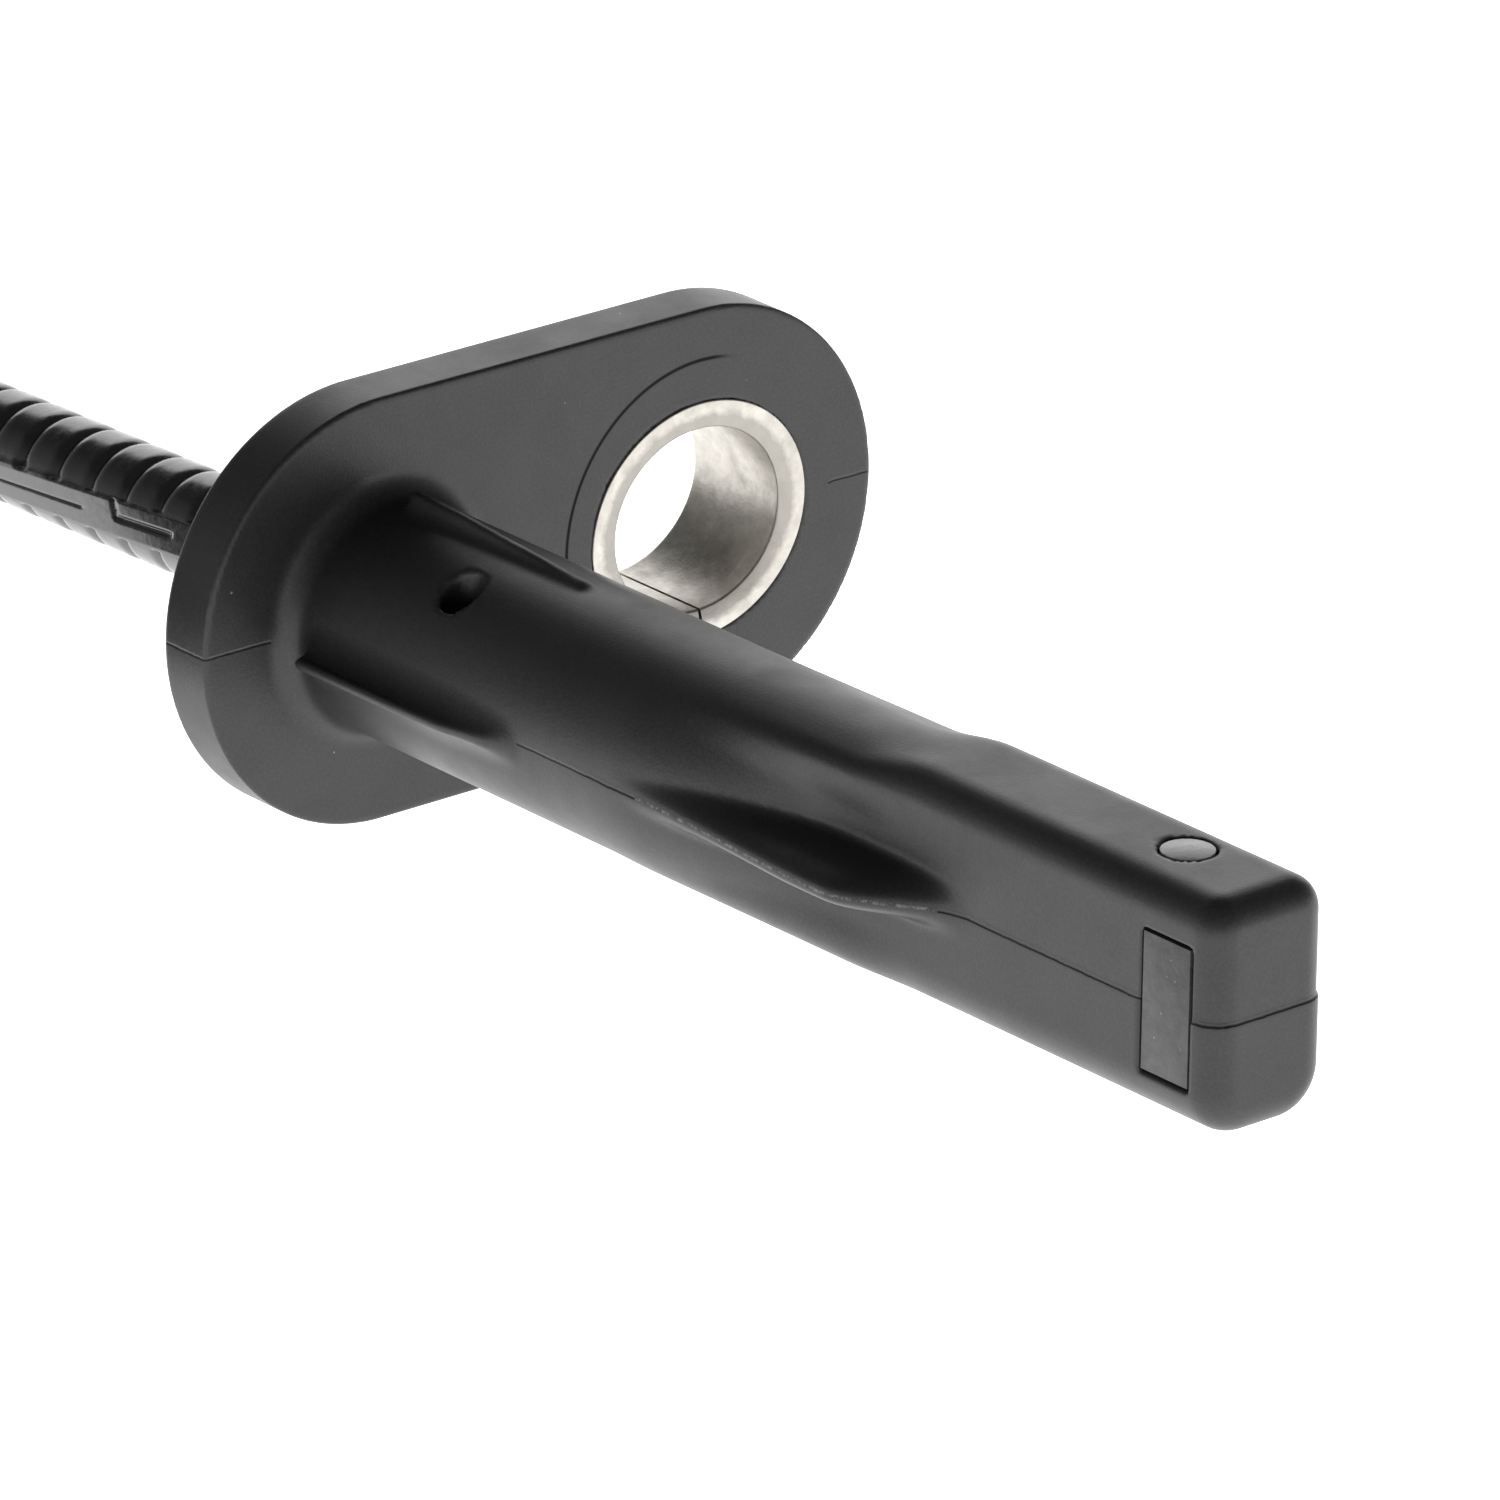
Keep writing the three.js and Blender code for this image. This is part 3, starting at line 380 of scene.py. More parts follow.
def plated_steel(name, color, rough=(0.26, 0.42), chamfer=False):
    """Cloudy plated or tinned steel, darker on a bush's chamfer."""
    n = Nodes(name)
    cloudy = n.noise(1.1, 5.0, 0.65)
    fine = n.noise(0.1, 3.0, 0.6)
    tone = n.mix(n.fit(cloudy, 0.35, 0.65, 0.0, 1.0), shade(color, 0.76), color)
    tone = n.mix(n.fit(fine, 0.45, 0.8, 0.0, 0.35), tone, shade(color, 0.7))
    if chamfer:
        tone = n.mix(bush_chamfer(n), tone, shade(color, 0.56))
    roughness = n.fit(n.noise(0.7, 4.0, 0.6), 0.3, 0.75, *rough)
    normal = n.bump(fine, 0.005, n.bump(cloudy, 0.03))
    return n.finish(tone, roughness, normal, Metallic=1.0)


def bush_chamfer(n):
    """Share of the darker inner chamfer at a point of the bush."""
    x, y, z = n.axes()
    across = n.math("DIVIDE", n.math("SUBTRACT", x, (BUSH_X + SHIFT[0]) * MM), BUSH_WIDE)
    along = n.math("DIVIDE", n.math("SUBTRACT", z, (BUSH_Z + SHIFT[2]) * MM), BUSH_HIGH)
    square = n.math("ADD", n.math("MULTIPLY", across, across), n.math("MULTIPLY", along, along))
    wobble = n.fit(n.noise(0.6, 3.0, 0.6), 0.0, 1.0, -0.35 * MM, 0.35 * MM)
    radius = n.math("ADD", n.math("POWER", square, 0.5), wobble)
    edge = BUSH_CHAMFER_RADIUS * MM
    inner = n.fit(radius, edge - 0.15 * MM, edge + 0.15 * MM, 1.0, 0.0)
    front = n.fit(y, (SHIFT[1] + 0.1) * MM, (SHIFT[1] + 0.25) * MM, 1.0, 0.0)
    return n.math("MULTIPLY", inner, front)


def glossy_rubber(name, color, rough=(0.16, 0.28), gloss=0.5):
    """Smooth rubber with a faint waviness."""
    n = Nodes(name)
    wave = n.noise(1.4, 3.0, 0.5)
    fine = n.noise(0.3, 3.0, 0.6)
    tone = n.mix(n.fit(wave, 0.3, 0.7, 0.0, 1.0), shade(color, 0.8), shade(color, 1.3))
    roughness = n.fit(fine, 0.3, 0.7, *rough)
    normal = n.bump(wave, 0.02, n.bump(fine, 0.003))
    return n.finish(tone, roughness, normal, Specular_IOR_Level=gloss, IOR=1.45 + 0.15 * gloss)


# Mesh helpers


def add_object(name, vertices, faces, finish, smooth_angle=None):
    """A new mesh piece, smooth apart from edges sharper than an angle."""
    mesh = bpy.data.meshes.new(name)
    mesh.from_pydata([tuple(v) for v in vertices], [], faces)
    mesh.validate()
    mesh.shade_smooth()
    if smooth_angle is not None:
        mesh.set_sharp_from_angle(angle=math.radians(smooth_angle))
    mesh.materials.append(finish)
    piece = bpy.data.objects.new(name, mesh)
    bpy.context.scene.collection.objects.link(piece)
    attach(piece, "root")
    return piece


def softened(name, node, finish, width=0.12):
    """A CAD node's shape with its hard edges rounded."""
    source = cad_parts[node].data
    bm = bmesh.new()
    for vertex in source.vertices:
        bm.verts.new(vertex.co)
    bm.verts.ensure_lookup_table()
    for polygon in source.polygons:
        corners = [bm.verts[i] for i in polygon.vertices]
        if bm.faces.get(corners) is None:
            bm.faces.new(corners)
    bmesh.ops.remove_doubles(bm, verts=bm.verts, dist=2e-7)
    bmesh.ops.dissolve_limit(
        bm, angle_limit=math.radians(0.8), verts=bm.verts, edges=bm.edges
    )
    hard = [
        edge
        for edge in bm.edges
        if len(edge.link_faces) == 2 and edge.calc_face_angle(0.0) > math.radians(30.0)
    ]
    bmesh.ops.bevel(
        bm,
        geom=hard,
        offset=width * MM,
        segments=2,
        profile=0.5,
        affect="EDGES",
        clamp_overlap=True,
    )
    mesh = bpy.data.meshes.new(name)
    bm.to_mesh(mesh)
    bm.free()
    mesh.shade_smooth()
    mesh.set_sharp_from_angle(angle=math.radians(38.0))
    mesh.materials.append(finish)
    piece = bpy.data.objects.new(name, mesh)
    bpy.context.scene.collection.objects.link(piece)
    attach(piece, "root")
    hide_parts(node)
    return piece


def tube_faces(rings, count):
    """Quads and two end caps over rings of points, each of the same count."""
    faces = []
    for ring in range(rings - 1):
        here, beyond = ring * count, (ring + 1) * count
        for c in range(count):
            right = (c + 1) % count
            faces.append((here + c, here + right, beyond + right, beyond + c))
    faces.append(tuple(reversed(range(count))))
    faces.append(tuple(range((rings - 1) * count, rings * count)))
    return faces


def grid_lines(*spans):
    """Sorted grid lines from spans of (start, end, step) that follow each other."""
    lines = [
        np.linspace(start, end, max(1, round((end - start) / step)), endpoint=False)
        for start, end, step in spans
    ]
    return np.append(np.concatenate(lines), spans[-1][1])


def surface_net(field, axes):
    """Points and quads on the zero level of a field sampled on grid lines."""
    inside = field < 0
    shape = np.array(field.shape)
    corners = [(i, j, k) for i in (0, 1) for j in (0, 1) for k in (0, 1)]
    count = np.zeros(shape - 1, np.int8)
    for i, j, k in corners:
        count += inside[
            i : shape[0] - 1 + i, j : shape[1] - 1 + j, k : shape[2] - 1 + k
        ]
    active = (count > 0) & (count < 8)
    index = np.full(active.shape, -1, np.int64)
    index[active] = np.arange(active.sum())
    cells = np.argwhere(active)
    total, hits = np.zeros((len(cells), 3)), np.zeros(len(cells))
    for a in corners:
        for axis in range(3):
            if a[axis]:
                continue
            b = tuple(v + (1 if n == axis else 0) for n, v in enumerate(a))
            fa = field[tuple((cells + a).T)]
            fb = field[tuple((cells + b).T)]
            cross = (fa < 0) != (fb < 0)
            share = fa[cross] / (fa[cross] - fb[cross])
            found = (cells[cross] + a).astype(float)
            found[:, axis] += share
            total[cross] += found
            hits[cross] += 1
    total /= hits[:, None]
    points = np.stack(
        [np.interp(total[:, n], np.arange(len(axes[n])), axes[n]) for n in range(3)], axis=1
    )
    quads = []
    for axis in range(3):
        u, v = (axis + 1) % 3, (axis + 2) % 3
        here = [slice(None)] * 3
        there = [slice(None)] * 3
        here[axis], there[axis] = slice(None, -1), slice(1, None)
        first, second = inside[tuple(here)], inside[tuple(there)]
        for leaving in (True, False):
            nodes = np.argwhere((first & ~second) if leaving else (~first & second))
            ring = []
            for du, dv in ((-1, -1), (0, -1), (0, 0), (-1, 0)):
                cell = nodes.copy()
                cell[:, u] += du
                cell[:, v] += dv
                ring.append(index[tuple(cell.T)])
            ring = np.stack(ring if leaving else ring[::-1], axis=1)
            quads.append(ring[(ring >= 0).all(axis=1)])
    return points, np.concatenate(quads)


def settle(points, distance, rounds=3, limit=0.08):
    """Moves points onto the zero level of a distance function."""
    small = 0.02
    for _ in range(rounds):
        value = distance(*points.T)
        slope = np.empty_like(points)
        for axis in range(3):
            ahead, behind = points.copy(), points.copy()
            ahead[:, axis] += small
            behind[:, axis] -= small
            slope[:, axis] = (distance(*ahead.T) - distance(*behind.T)) / (2 * small)
        size = np.maximum((slope**2).sum(axis=1), 0.05)
        move = slope * (value / size)[:, None]
        length = np.maximum(np.linalg.norm(move, axis=1), 1e-9)
        points = points - move * np.minimum(1.0, limit / length)[:, None]
    return points


# Distances to simple shapes


def round_union(a, b, radius):
    """Both shapes, with a fillet of the radius where they meet."""
    u, v = np.maximum(radius - a, 0.0), np.maximum(radius - b, 0.0)
    return np.maximum(radius, np.minimum(a, b)) - np.hypot(u, v)


def round_cut(a, b, radius):
    """The first shape without the second, with a rounded edge."""
    return -round_union(-a, b, radius)


def rounded_meet(a, b, radius):
    """Where two shapes meet, with their outer edge rounded."""
    u, v = a + radius, b + radius
    return (
        np.hypot(np.maximum(u, 0.0), np.maximum(v, 0.0))
        + np.minimum(np.maximum(u, v), 0.0)
        - radius
    )


def slab(value, low, high):
    """The space between two parallel planes."""
    return np.abs(value - (low + high) / 2) - (high - low) / 2


# The probe


def blade_distance(x, z):
    """The blade's outline: a rectangle with larger corners below."""
    half_width, half_height = BLADE_WIDTH / 2, (BLADE_TOP + BLADE_BOTTOM) / 2
    corner = np.where(z < 0, BLADE_LOWER_CORNER, BLADE_UPPER_CORNER)
    u = np.abs(x) - half_width + corner
    v = np.abs(z) - half_height + corner
    return (
        np.hypot(np.maximum(u, 0.0), np.maximum(v, 0.0))
        + np.minimum(np.maximum(u, v), 0.0)
        - corner
    )


def blade_reach(angle):
    """Distance from the blade's middle to its outline in the direction of an angle."""
    c, s = np.abs(np.cos(angle)), np.abs(np.sin(angle))
    half_width, half_height = BLADE_WIDTH / 2, (BLADE_TOP + BLADE_BOTTOM) / 2
    corner = np.where(np.sin(angle) < 0, BLADE_LOWER_CORNER, BLADE_UPPER_CORNER)
    corner_x, corner_z = half_width - corner, half_height - corner
    along = c * corner_x + s * corner_z
    apart = corner_x**2 + corner_z**2 - corner**2
    reach = along + np.sqrt(np.maximum(along**2 - apart, 0.0))
    on_side = half_width * s <= corner_z * c
    on_top = half_height * c <= corner_x * s
    reach = np.where(on_side, half_width / np.maximum(c, 1e-6), reach)
    return np.where(on_top, half_height / np.maximum(s, 1e-6), reach)


def beside_keel(y, lift):
    """0 on the keel's crest, 1 where the scoop beside it has its full depth."""
    stations = (KEEL_WIDE_Y, KEEL_NARROW_Y)
    opening = np.interp(y, stations, (KEEL_WIDE_ANGLE, KEEL_NARROW_ANGLE))
    return ramp((lift - KEEL_CREST_ANGLE) / (opening - KEEL_CREST_ANGLE))


def blade_share(y, lift):
    """How far the round barrel has turned into the blade, from 0 to 1."""

    def towards_tip(length, after):
        return 1.0 - ramp((y - BLADE_START_Y - after) / length)

    keel = towards_tip(KEEL_BLEND_LENGTH, 0.0)
    flank = towards_tip(SIDE_SCOOP_RUN_IN, SIDE_SCOOP_LENGTH - SIDE_SCOOP_RUN_IN)
    crown = towards_tip(CROWN_BLEND_LENGTH, CROWN_BLEND_START)
    on_crown = ramp((lift - FLANK_ANGLE) / (CROWN_ANGLE - FLANK_ANGLE))
    return lerp(lerp(keel, flank, beside_keel(y, lift)), crown, on_crown)


def keel_bulge(y, lift):
    """How far the keel's crest swells past the blend of barrel and blade."""
    along = np.clip((y - BLADE_START_Y) / KEEL_RISE_LENGTH, 0.0, 1.0)
    return KEEL_RISE * (1.0 - beside_keel(y, lift)) * np.sin(math.pi * along**0.75) ** 2


def lift_of(angle):
    """Degrees from the parting plane, 0 at the sides and 90 at top and bottom."""
    return np.degrees(np.arcsin(np.clip(np.abs(np.sin(angle)), 0.0, 1.0)))


def probe_distance(x, y, z):
    """The barrel and the blade, where the lower half of the mould stands a little proud."""
    centre_z = (BLADE_TOP - BLADE_BOTTOM) / 2
    share = blade_share(y, lift_of(np.arctan2(z, x)))
    for _ in range(2):
        near_x, near_z = x - share * BLADE_SIDE_SHIFT, z - share * centre_z
        angle = np.arctan2(near_z, near_x)
        lift = lift_of(angle)
        share = blade_share(y, lift)
    reach = lerp(BARREL_RADIUS, blade_reach(angle), share)
    reach = reach + (1.0 - share) * keel_bulge(y, lift)
    radial = np.hypot(near_x, near_z) - reach
    flat = blade_distance(x - BLADE_SIDE_SHIFT, z - centre_z)
    side = lerp(radial, flat, ramp((BLADE_START_Y - 1.0 - y) / 4.0))
    along = ramp((PARTING_STEP_START_Y - y) / PARTING_STEP_RUN_IN)
    step = PARTING_STEP * ramp(0.5 - z / 0.25) * along
    return rounded_meet(side - step, TIP_Y - y - step * 1.5, TIP_ROUND)


def guide_fin(y, depth, across):
    """A fin, wider towards its root, from the depth below its crest and the place across it."""
    half_width = FIN_HALF_WIDTH + FIN_WIDENING * depth
    sides = (np.abs(across) - half_width) * FIN_WIDENING_COSINE
    section = rounded_meet(-depth, sides, FIN_CREST_ROUND)
    ends = np.maximum(y - FIN_BACK_Y, FIN_TIP_Y - y)
    return rounded_meet(np.maximum(section, depth - FIN_ROOT), ends, FIN_END_ROUND)


def flange_distance(x, y, z):
    """The obround flange, with a web that joins the bosses of the bush and the cable behind it."""
    along = np.clip(x, 0.0, BOLT_PITCH)
    outline = np.hypot(x - along, z) - FLANGE_RADIUS
    from_bolt = np.hypot(x - BOLT_PITCH, z)
    front = rounded_meet(outline, -y, FLANGE_FRONT_ROUND)
    plate = np.maximum(front, rounded_meet(outline, y - FLANGE_THICKNESS, FLANGE_BACK_ROUND))
    bush_run = slab(y, BOSS_START_Y, BUSH_BACK_Y - 0.05)
    bush_boss = rounded_meet(from_bolt - BUSH_BOSS_RADIUS, bush_run, BOSS_ROUND)
    cable_run = slab(y, BOSS_START_Y, CABLE_BOSS_BACK_Y)
    cable_boss = rounded_meet(np.hypot(x, z) - CABLE_BOSS_RADIUS, cable_run, BOSS_ROUND)
    web_plan = rounded_meet(slab(x, 0.0, BOLT_PITCH), np.abs(z) - WEB_HALF_HEIGHT, BOSS_ROUND)
    web = rounded_meet(web_plan, slab(y, BOSS_START_Y, WEB_BACK_Y), BOSS_ROUND)
    back = round_union(round_union(bush_boss, cable_boss, BOSS_FILLET), web, BOSS_FILLET)
    return round_union(plate, back, BOSS_BASE_FILLET)


def body_distance(x, y, z):
    """The whole moulding: the probe with its fins, the flange, and what is cut out of them."""
    probe = np.maximum(probe_distance(x, y, z), y - PROBE_ROOT_Y)
    side_crest = np.interp(y, SIDE_FIN_Y, SIDE_FIN_CREST)
    side_fin = guide_fin(y, side_crest - np.abs(x), z + SIDE_FIN_DROP)
    crown_crest = np.interp(y, CROWN_FIN_Y, CROWN_FIN_CREST)
    crown_crest = crown_crest - np.where(z < 0, LOWER_FIN_DROP, 0.0)
    crown_fin = guide_fin(y, crown_crest - np.abs(z), x)
    probe = round_union(probe, side_fin, SIDE_FIN_FILLET)
    probe = round_union(probe, crown_fin, CROWN_FIN_FILLET)
    body = round_union(probe, flange_distance(x, y, z), BASE_FILLET)
    body = round_cut(body, bush_radius(x, z) - BUSH_OUTER + bush_flash(x, z), 0.04)
    hole = np.hypot(x - HOLE_X, y - HOLE_Y) - HOLE_RADIUS
    body = round_cut(body, np.maximum(hole, HOLE_FLOOR_Z - z), 0.06)
    window = slab(y, WINDOW_TIP_Y, WINDOW_HEAD_Y)
    body = np.maximum(body, -np.maximum(window, np.abs(z) - WINDOW_HALF_HEIGHT))
    pad = np.hypot(x - PAD_X, y - PAD_Y) - PAD_HOLE_RADIUS
    body = np.maximum(body, -np.maximum(pad, PAD_FLOOR_Z - z))
    from_sleeve = np.hypot(x, z - relief_height(y))
    socket = from_sleeve - RELIEF_RADIUS - SOCKET_GAP
    return round_cut(body, np.maximum(socket, SOCKET_START_Y - y), 0.2)


def bush_flash(x, z):
    """The plastic's uneven edge round the bush."""
    turn = np.arctan2(z - BUSH_Z, x - BUSH_X)
    return 0.02 + 0.018 * np.sin(9.0 * turn) + 0.015 * np.sin(23.0 * turn + 1.0)


def add_body(finish):
    """The moulding as a mesh, with finer cells at small features and along the parting plane."""
    # No grid line may lie on a flat side of the blade.
    axes = [
        grid_lines((-10.0, -0.5, 0.2), (-0.5, 0.5, 0.1), (0.5, 27.0, 0.2)),
        grid_lines(
            (-55.1, -48.0, 0.19),
            (-48.0, -17.0, 0.38),
            (-17.0, -1.5, 0.27),
            (-1.5, -0.4, 0.15),
            (-0.4, 0.4, 0.08),
            (0.4, 2.4, 0.4),
            (2.4, 3.2, 0.12),
            (3.2, 8.1, 0.22),
        ),
        grid_lines((-9.9, -0.6, 0.2), (-0.6, 0.5, 0.1), (0.5, 9.9, 0.2)),
    ]
    field = np.full([len(lines) for lines in axes], 1.0)
    for box_low, box_high in (
        ((-7.4, -55.1, -7.4), (7.4, -2.4, 7.4)),
        ((-9.9, -3.2, -9.9), (27.0, 8.1, 9.9)),
    ):
        spans = [
            np.flatnonzero((axes[n] >= box_low[n]) & (axes[n] <= box_high[n]))
            for n in range(3)
        ]
        grid = np.meshgrid(*[axes[n][spans[n]] for n in range(3)], indexing="ij")
        field[np.ix_(*spans)] = body_distance(*grid)
    points, quads = surface_net(field, axes)
    points = settle(points, body_distance)
    piece = add_object("probe_body", place(points), quads.tolist(), finish)
    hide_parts("sensor_body")


# The bush


def bush_radius(x, z):
    """Distance from the bush's axis, in the shares of its slightly oval section."""
    return np.hypot((x - BUSH_X) / BUSH_WIDE, (z - BUSH_Z) / BUSH_HIGH)


def add_bush(finish):
    """A rolled steel bush: a flat ring face, a broad inner chamfer and an open seam."""
    corners = (
        (BUSH_BORE, BUSH_FRONT_Y + BUSH_CHAMFER_DEPTH, 0.1),
        (BUSH_CHAMFER_RADIUS, BUSH_FRONT_Y + 0.01, 0.16),
        (BUSH_OUTER, BUSH_FRONT_Y, 0.08),
        (BUSH_OUTER, BUSH_BACK_Y, 0.25),
        (BUSH_BORE, BUSH_BACK_Y, 0.25),
    )
    profile = []
    for k, (radius, y, edge) in enumerate(corners):
        here = np.array([radius, y])
        before = np.array(corners[k - 1][:2]) - here
        after = np.array(corners[(k + 1) % len(corners)][:2]) - here
        start = here + before / np.linalg.norm(before) * edge
        end = here + after / np.linalg.norm(after) * edge
        for s in np.linspace(0.0, 1.0, 6):
            profile.append(lerp(lerp(start, here, s), lerp(here, end, s), s))
    seam = math.radians(BUSH_SEAM_ANGLE)
    half_gap = BUSH_SEAM_HALF_GAP / BUSH_OUTER
    turns = np.linspace(seam + half_gap, seam + 2 * math.pi - half_gap, 145)
    points = [
        (BUSH_X + BUSH_WIDE * r * math.cos(t), y, BUSH_Z + BUSH_HIGH * r * math.sin(t))
        for t in turns
        for r, y in profile
    ]
    faces = [tuple(reversed(face)) for face in tube_faces(len(turns), len(profile))]
    piece = add_object("bush", place(points), faces, finish, 40.0)
    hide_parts("mounting_bush")


# The strain relief


def rib_radius(y):
    """Rounded ribs with a thin crease at the foot of each."""
    phase = np.mod((y - RIB_PHASE_Y) / RIB_PITCH, 1.0)
    from_groove = np.where(phase < 0.5, phase, phase - 1.0) * RIB_PITCH
    groove = RIB_GROOVE_DEPTH * np.exp(-((from_groove / RIB_GROOVE_REACH) ** 2))
    crease = RIB_CREASE_DEPTH * np.exp(-((from_groove / RIB_CREASE_REACH) ** 2))
    return RELIEF_RADIUS + RIB_HEIGHT - groove - crease


def band_radius(angle, y):
    """A flat band with a groove along its middle, wide near the flange and thin further on."""
    across = RELIEF_RADIUS * np.sin(angle)
    flat = (RELIEF_RADIUS - BAND_DEPTH) / np.maximum(np.abs(np.cos(angle)), 0.2)
    wide_run = ramp((y - WIDE_GROOVE_START_Y) / 0.3) * ramp((WIDE_GROOVE_END_Y - y) / 0.2)
    wide_groove = np.exp(-(((across - 0.04) / WIDE_GROOVE_REACH) ** 4)) * wide_run
    thin_run = ramp((y - THIN_GROOVE_START_Y) / 0.3)
    thin_groove = np.exp(-((across / THIN_GROOVE_REACH) ** 2)) * thin_run
    from_link = y - GROOVE_LINK_Y - 0.3 * across
    link = np.exp(-((from_link / GROOVE_LINK_REACH) ** 2)) * (across > 0.0)
    wide_cut = WIDE_GROOVE_DEPTH * np.maximum(wide_groove, 0.6 * link)
    cut = wide_cut + THIN_GROOVE_DEPTH * thin_groove
    return np.minimum(flat, RELIEF_RADIUS + 0.02) - cut


def relief_radius(angle, y):
    """The sleeve's outline at a station: ribs, and a band on each side."""
    if not RIBS_START_Y < y < RIBS_END_Y:
        return np.full_like(angle, RELIEF_RADIUS)
    on_band = 1.0 - ramp((np.abs(np.sin(angle)) - BAND_HALF_WIDTH) / 0.05)
    return lerp(rib_radius(y), band_radius(angle, y), on_band)


def relief_height(y):
    """The sleeve comes out a little high and levels off as it follows the cable."""
    return RELIEF_SLOPE * np.maximum(RELIEF_LEVEL_Y - y, 0.0) - RELIEF_DROP


def relief_ring(angles, radius, y, height):
    """Points round the sleeve at a station, turned as its bands are."""
    turned = angles + math.radians(BAND_TWIST) * (y - BAND_MIDDLE_Y)
    x, z = radius * np.cos(turned), radius * np.sin(turned) + height
    return np.stack([x, np.full_like(x, y), z], axis=1)


def add_relief(finish):
    """The sleeve's outside, its rounded end, and the bore that the cable comes out of."""
    spans = ((-26, 26, 40), (26, 154, 56), (154, 206, 40), (206, 334, 56))
    angles = np.radians(np.concatenate([np.linspace(*span, endpoint=False) for span in spans]))
    stations = np.concatenate(
        [
            [RELIEF_START_Y, RIBS_START_Y - 0.2],
            np.arange(RIBS_START_Y, RIBS_END_Y, RIB_PITCH / 16),
            [RIBS_END_Y + 0.1, RELIEF_END_Y - 0.3],
        ]
    )
    rows = [relief_ring(angles, relief_radius(angles, y), y, relief_height(y)) for y in stations]
    for y, inset in ((RELIEF_END_Y - 0.1, 0.1), (RELIEF_END_Y, 0.28)):
        rows.append(relief_ring(angles, relief_radius(angles, y) - inset, y, -RELIEF_DROP))
    bore = CABLE_DIAMETER / 2 + BORE_GAP
    end_ring = relief_ring(angles, bore, RELIEF_END_Y, -RELIEF_DROP)
    rows.append(end_ring)
    rows.append(end_ring - (0.0, BORE_DEPTH, 0.0))
    faces = tube_faces(len(rows), len(angles))
    points = place(np.concatenate(rows))
    piece = add_object("ribbed_relief", points, faces, finish, 50.0)
    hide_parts("strain_relief")


# The cable: the route out of the relief, six rounds of coil and the tail to the connector.
# A route entry is (share of the run, share of the height, share of the way across).
LEAD_ROUTE = [
    (0.00, 1.0, 0.0), (0.08, 1.0, 0.0), (0.16, 1.0, 0.0), (0.24, 0.995, 0.025),
    (0.31, 0.975, 0.085), (0.38, 0.93, 0.17), (0.45, 0.84, 0.275), (0.52, 0.715, 0.395),
    (0.59, 0.57, 0.52), (0.66, 0.42, 0.64), (0.73, 0.275, 0.755), (0.80, 0.15, 0.855),
    (0.87, 0.06, 0.935), (0.94, 0.015, 0.985), (1.00, 0.0, 1.0),
]
TAIL_ROUTE = [
    (0.00, 0.0, 0.0), (0.07, 0.0, 0.04), (0.14, 0.03, 0.145), (0.21, 0.16, 0.3),
    (0.28, 0.42, 0.475), (0.35, 0.7, 0.65), (0.42, 0.91, 0.81), (0.48, 0.99, 0.92),
    (0.54, 1.0, 0.985), (0.62, 1.0, 1.0), (0.72, 1.0, 1.0), (0.82, 1.0, 1.0),
    (0.91, 1.0, 1.0), (1.00, 1.0, 1.0),
]
LEAD_START_Y = 31.4
COIL_X, COIL_Y = -7.0, 87.0
OUTER_TURN = 22.1
COIL_LOW_Z = -6.7
COIL_ENTRY_Y, COIL_SIDE_Y = 74.441, 80.5
PLUG_X, PLUG_Y, PLUG_Z = -23.3, 37.141, -2.65

# Degrees that the cable has gone round where it starts to move in, up and out by its diameter,
# the degrees that each move takes, and the whole coil
COIL_INWARD, COIL_RISE, COIL_OUTWARD = (246.0, 606.0), 935.0, (1265.0, 1625.0)
COIL_MOVE = 106.0
COIL_DEGREES, COIL_POINT_EVERY = 1980, 15


def coil_place(turned):
    """A point of the coil, by the angle in degrees that the cable has gone round."""
    inward = sum(ramp((turned - start) / COIL_MOVE) for start in COIL_INWARD)
    rise = ramp((turned - COIL_RISE) / COIL_MOVE)
    outward = sum(ramp((turned - start) / COIL_MOVE) for start in COIL_OUTWARD)
    radius = OUTER_TURN + CABLE_DIAMETER * (outward - inward)
    turn = math.radians(turned)
    return (
        COIL_X + radius * math.cos(turn),
        COIL_Y + radius * math.sin(turn),
        COIL_LOW_Z + CABLE_DIAMETER * rise,
    )


def cable_points():
    """The cable's whole route: the lead, the coil's turns and the tail."""
    points = []
    entry_x, exit_x = COIL_X + OUTER_TURN, COIL_X - OUTER_TURN
    top_z = COIL_LOW_Z + CABLE_DIAMETER
    for run, height, across in LEAD_ROUTE:
        z = lerp(COIL_LOW_Z, -RELIEF_DROP, height)
        points.append((entry_x * across, lerp(LEAD_START_Y, COIL_ENTRY_Y, run), z))
    points.append((entry_x, COIL_SIDE_Y, COIL_LOW_Z))
    for turned in range(0, COIL_DEGREES + 1, COIL_POINT_EVERY):
        points.append(coil_place(turned))
    points.append((exit_x, COIL_SIDE_Y, top_z))
    for run, height, across in TAIL_ROUTE:
        z = lerp(top_z, PLUG_Z, height)
        points.append((lerp(exit_x, PLUG_X, across), lerp(COIL_ENTRY_Y, PLUG_Y, run), z))
    return points


def add_cable(finish):
    """The cable as one curve, from inside the sleeve to the connector's boot."""
    data = bpy.data.curves.new("cable", "CURVE")
    data.dimensions = "3D"
    data.resolution_u = 5
    data.bevel_depth = CABLE_DIAMETER / 2 * MM
    data.bevel_resolution = 4
    data.use_fill_caps = True
    spline = data.splines.new("BEZIER")
    points = place(cable_points())
    spline.bezier_points.add(len(points) - 1)
    for knot, point in zip(spline.bezier_points, points):
        knot.co = point
        knot.handle_left_type = knot.handle_right_type = "AUTO"
    data.materials.append(finish)
    piece = bpy.data.objects.new("cable", data)
    bpy.context.scene.collection.objects.link(piece)
    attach(piece, "root")
    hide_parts("cable_lead", "cable_coil", "cable_tail")
    return piece


# Studio


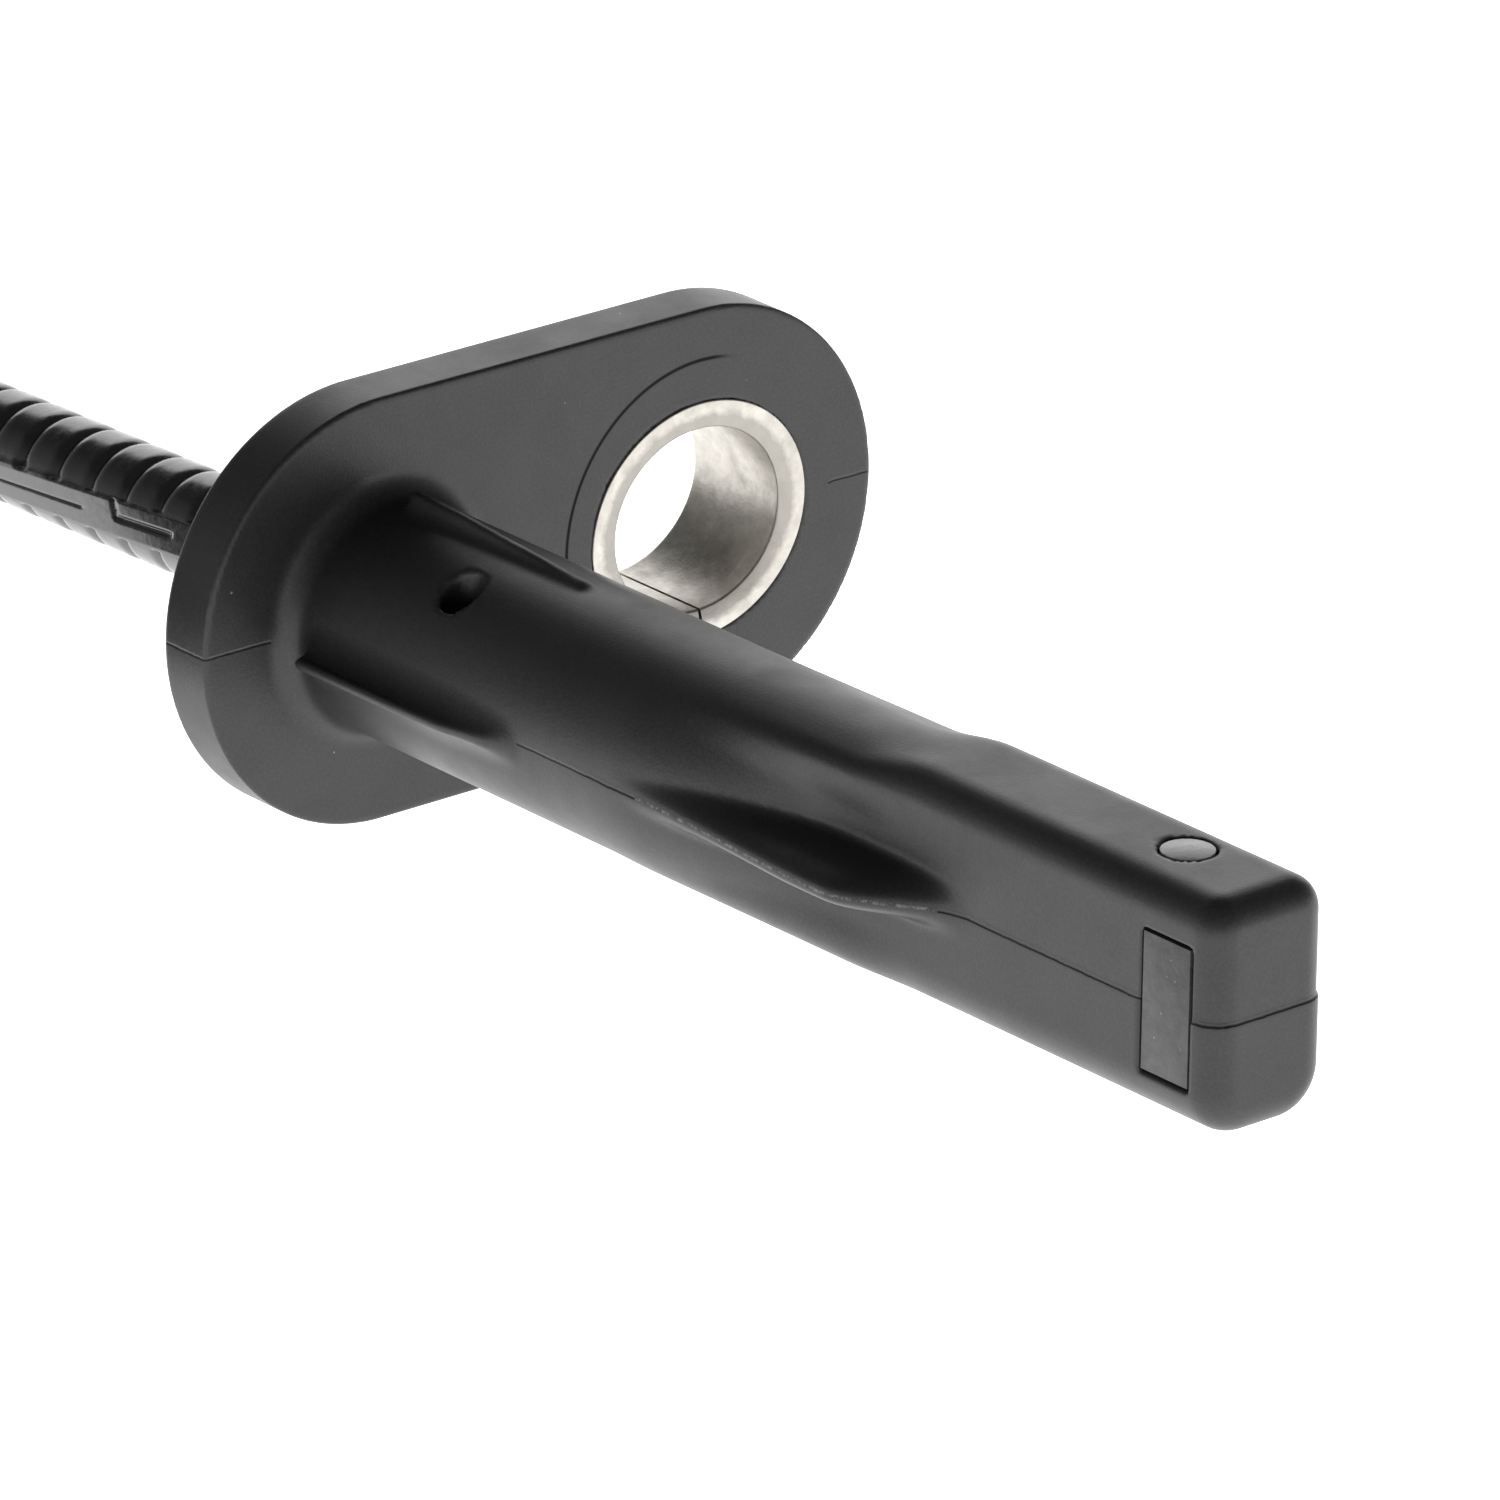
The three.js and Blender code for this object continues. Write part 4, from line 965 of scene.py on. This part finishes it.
# How bright the room is from straight down, 0, to straight up, 1
ROOM_BRIGHTNESS = [
    (0.0, 0.9), (0.49, 0.9), (0.51, 0.3), (0.6, 0.14), (0.72, 0.09), (0.82, 0.035),
]
PANEL_TOWARDS = (0.65, 0.72, 0.25)
PANEL_EDGE, PANEL_FULL, PANEL_BRIGHTNESS = 0.84, 0.91, 0.9
ROOM_STRENGTH = 2.0
FLOOR_REACH, FLOOR_GLOW = 4.0, 1.7


def add_room():
    """A dim room with light from below and one broad soft panel behind to the right."""
    world = bpy.data.worlds.new("studio")
    world.use_nodes = True
    bpy.context.scene.world = world
    tree = world.node_tree
    direction = tree.nodes.new("ShaderNodeTexCoord").outputs["Generated"]
    split = tree.nodes.new("ShaderNodeSeparateXYZ")
    tree.links.new(direction, split.inputs[0])
    sky = tree.nodes.new("ShaderNodeValToRGB")
    sky.color_ramp.interpolation = "EASE"
    height = tree.nodes.new("ShaderNodeMapRange")
    height.inputs["From Min"].default_value = -1.0
    tree.links.new(split.outputs[2], height.inputs["Value"])
    tree.links.new(height.outputs["Result"], sky.inputs[0])
    elements = sky.color_ramp.elements
    elements[0].position, elements[1].position = ROOM_BRIGHTNESS[0][0], ROOM_BRIGHTNESS[-1][0]
    for position, _ in ROOM_BRIGHTNESS[1:-1]:
        elements.new(position)
    for element, (_, value) in zip(elements, ROOM_BRIGHTNESS):
        element.color = (value, value, value, 1.0)
    facing = tree.nodes.new("ShaderNodeVectorMath")
    facing.operation = "DOT_PRODUCT"
    tree.links.new(direction, facing.inputs[0])
    facing.inputs[1].default_value = PANEL_TOWARDS
    panel = tree.nodes.new("ShaderNodeMapRange")
    panel.interpolation_type = "SMOOTHSTEP"
    panel.inputs["From Min"].default_value = PANEL_EDGE
    panel.inputs["From Max"].default_value = PANEL_FULL
    panel.inputs["To Max"].default_value = PANEL_BRIGHTNESS
    tree.links.new(facing.outputs["Value"], panel.inputs["Value"])
    both = tree.nodes.new("ShaderNodeMath")
    both.operation = "MAXIMUM"
    tree.links.new(sky.outputs[0], both.inputs[0])
    tree.links.new(panel.outputs["Result"], both.inputs[1])
    back = tree.nodes["Background"]
    tree.links.new(both.outputs[0], back.inputs["Color"])
    back.inputs["Strength"].default_value = ROOM_STRENGTH


def add_floor():
    """A plain pale floor that glows as a light table does."""
    mesh = bpy.data.meshes.new("floor")
    signs = ((-1, -1), (1, -1), (1, 1), (-1, 1))
    corners = [(FLOOR_REACH * x, FLOOR_REACH * y, 0.0) for x, y in signs]
    mesh.from_pydata(corners, [], [(0, 1, 2, 3)])
    n = Nodes("floor")
    tone = n.mix(n.noise(400.0), (0.93, 0.93, 0.93), (0.95, 0.95, 0.95))
    n.shader.inputs["Emission Color"].default_value = (1.0, 1.0, 1.0, 1.0)
    mesh.materials.append(n.finish(tone, 0.9, Emission_Strength=FLOOR_GLOW))
    floor = bpy.data.objects.new("floor", mesh)
    bpy.context.scene.collection.objects.link(floor)


add_camera()
jacket = glossy_rubber("jacket", (0.014, 0.014, 0.015), (0.32, 0.45))
cable = add_cable(jacket)

on_cable = [
    softened("tie", "coil_tie", moulded("tie", (0.02, 0.02, 0.021), (0.35, 0.5)), 0.15),
    softened("connector", "connector_housing", moulded("plug", (0.02, 0.02, 0.022))),
    softened("lock", "secondary_lock", moulded("lock", (0.26, 0.27, 0.28)), 0.08),
    softened("seal", "rear_seal", moulded("seal", (0.35, 0.09, 0.035)), 0.08),
    softened("boot", "cable_boot", moulded("boot", (0.014, 0.014, 0.015)), 0.15),
]
pin_steel = plated_steel("pins", (0.72, 0.71, 0.68), (0.2, 0.32))
for side in ("left", "right"):
    on_cable.append(softened("pin_" + side, "contact_pin_" + side, pin_steel, 0.05))

add_body(body_plastic())
add_bush(plated_steel("bush", (0.6, 0.57, 0.52), (0.32, 0.5), True))
add_relief(glossy_rubber("relief", (0.006, 0.006, 0.0065), gloss=1.0))
softened("carrier", "chip_carrier", carrier_plastic(), 0.06)
softened("chip", "sensor_chip", moulded("chip", (0.016, 0.016, 0.018)), 0.05)
dipped = moulded("capacitor", (0.3, 0.16, 0.07))
softened("dipped_capacitor", "capacitor", dipped, 0.05)
tinned = plated_steel("tinned", (0.7, 0.69, 0.66))
core = moulded("core", (0.33, 0.15, 0.07), (0.3, 0.45))
for end in ("lower", "upper"):
    softened("lead_frame_" + end, "chip_lead_" + end, tinned, 0.04)
    softened("crimp_barrel_" + end, "crimp_" + end, tinned, 0.04)
    softened("wire_" + end, "wire_core_" + end, core, 0.04)

add_room()
add_floor()
bpy.context.scene.view_settings.view_transform = "Standard"
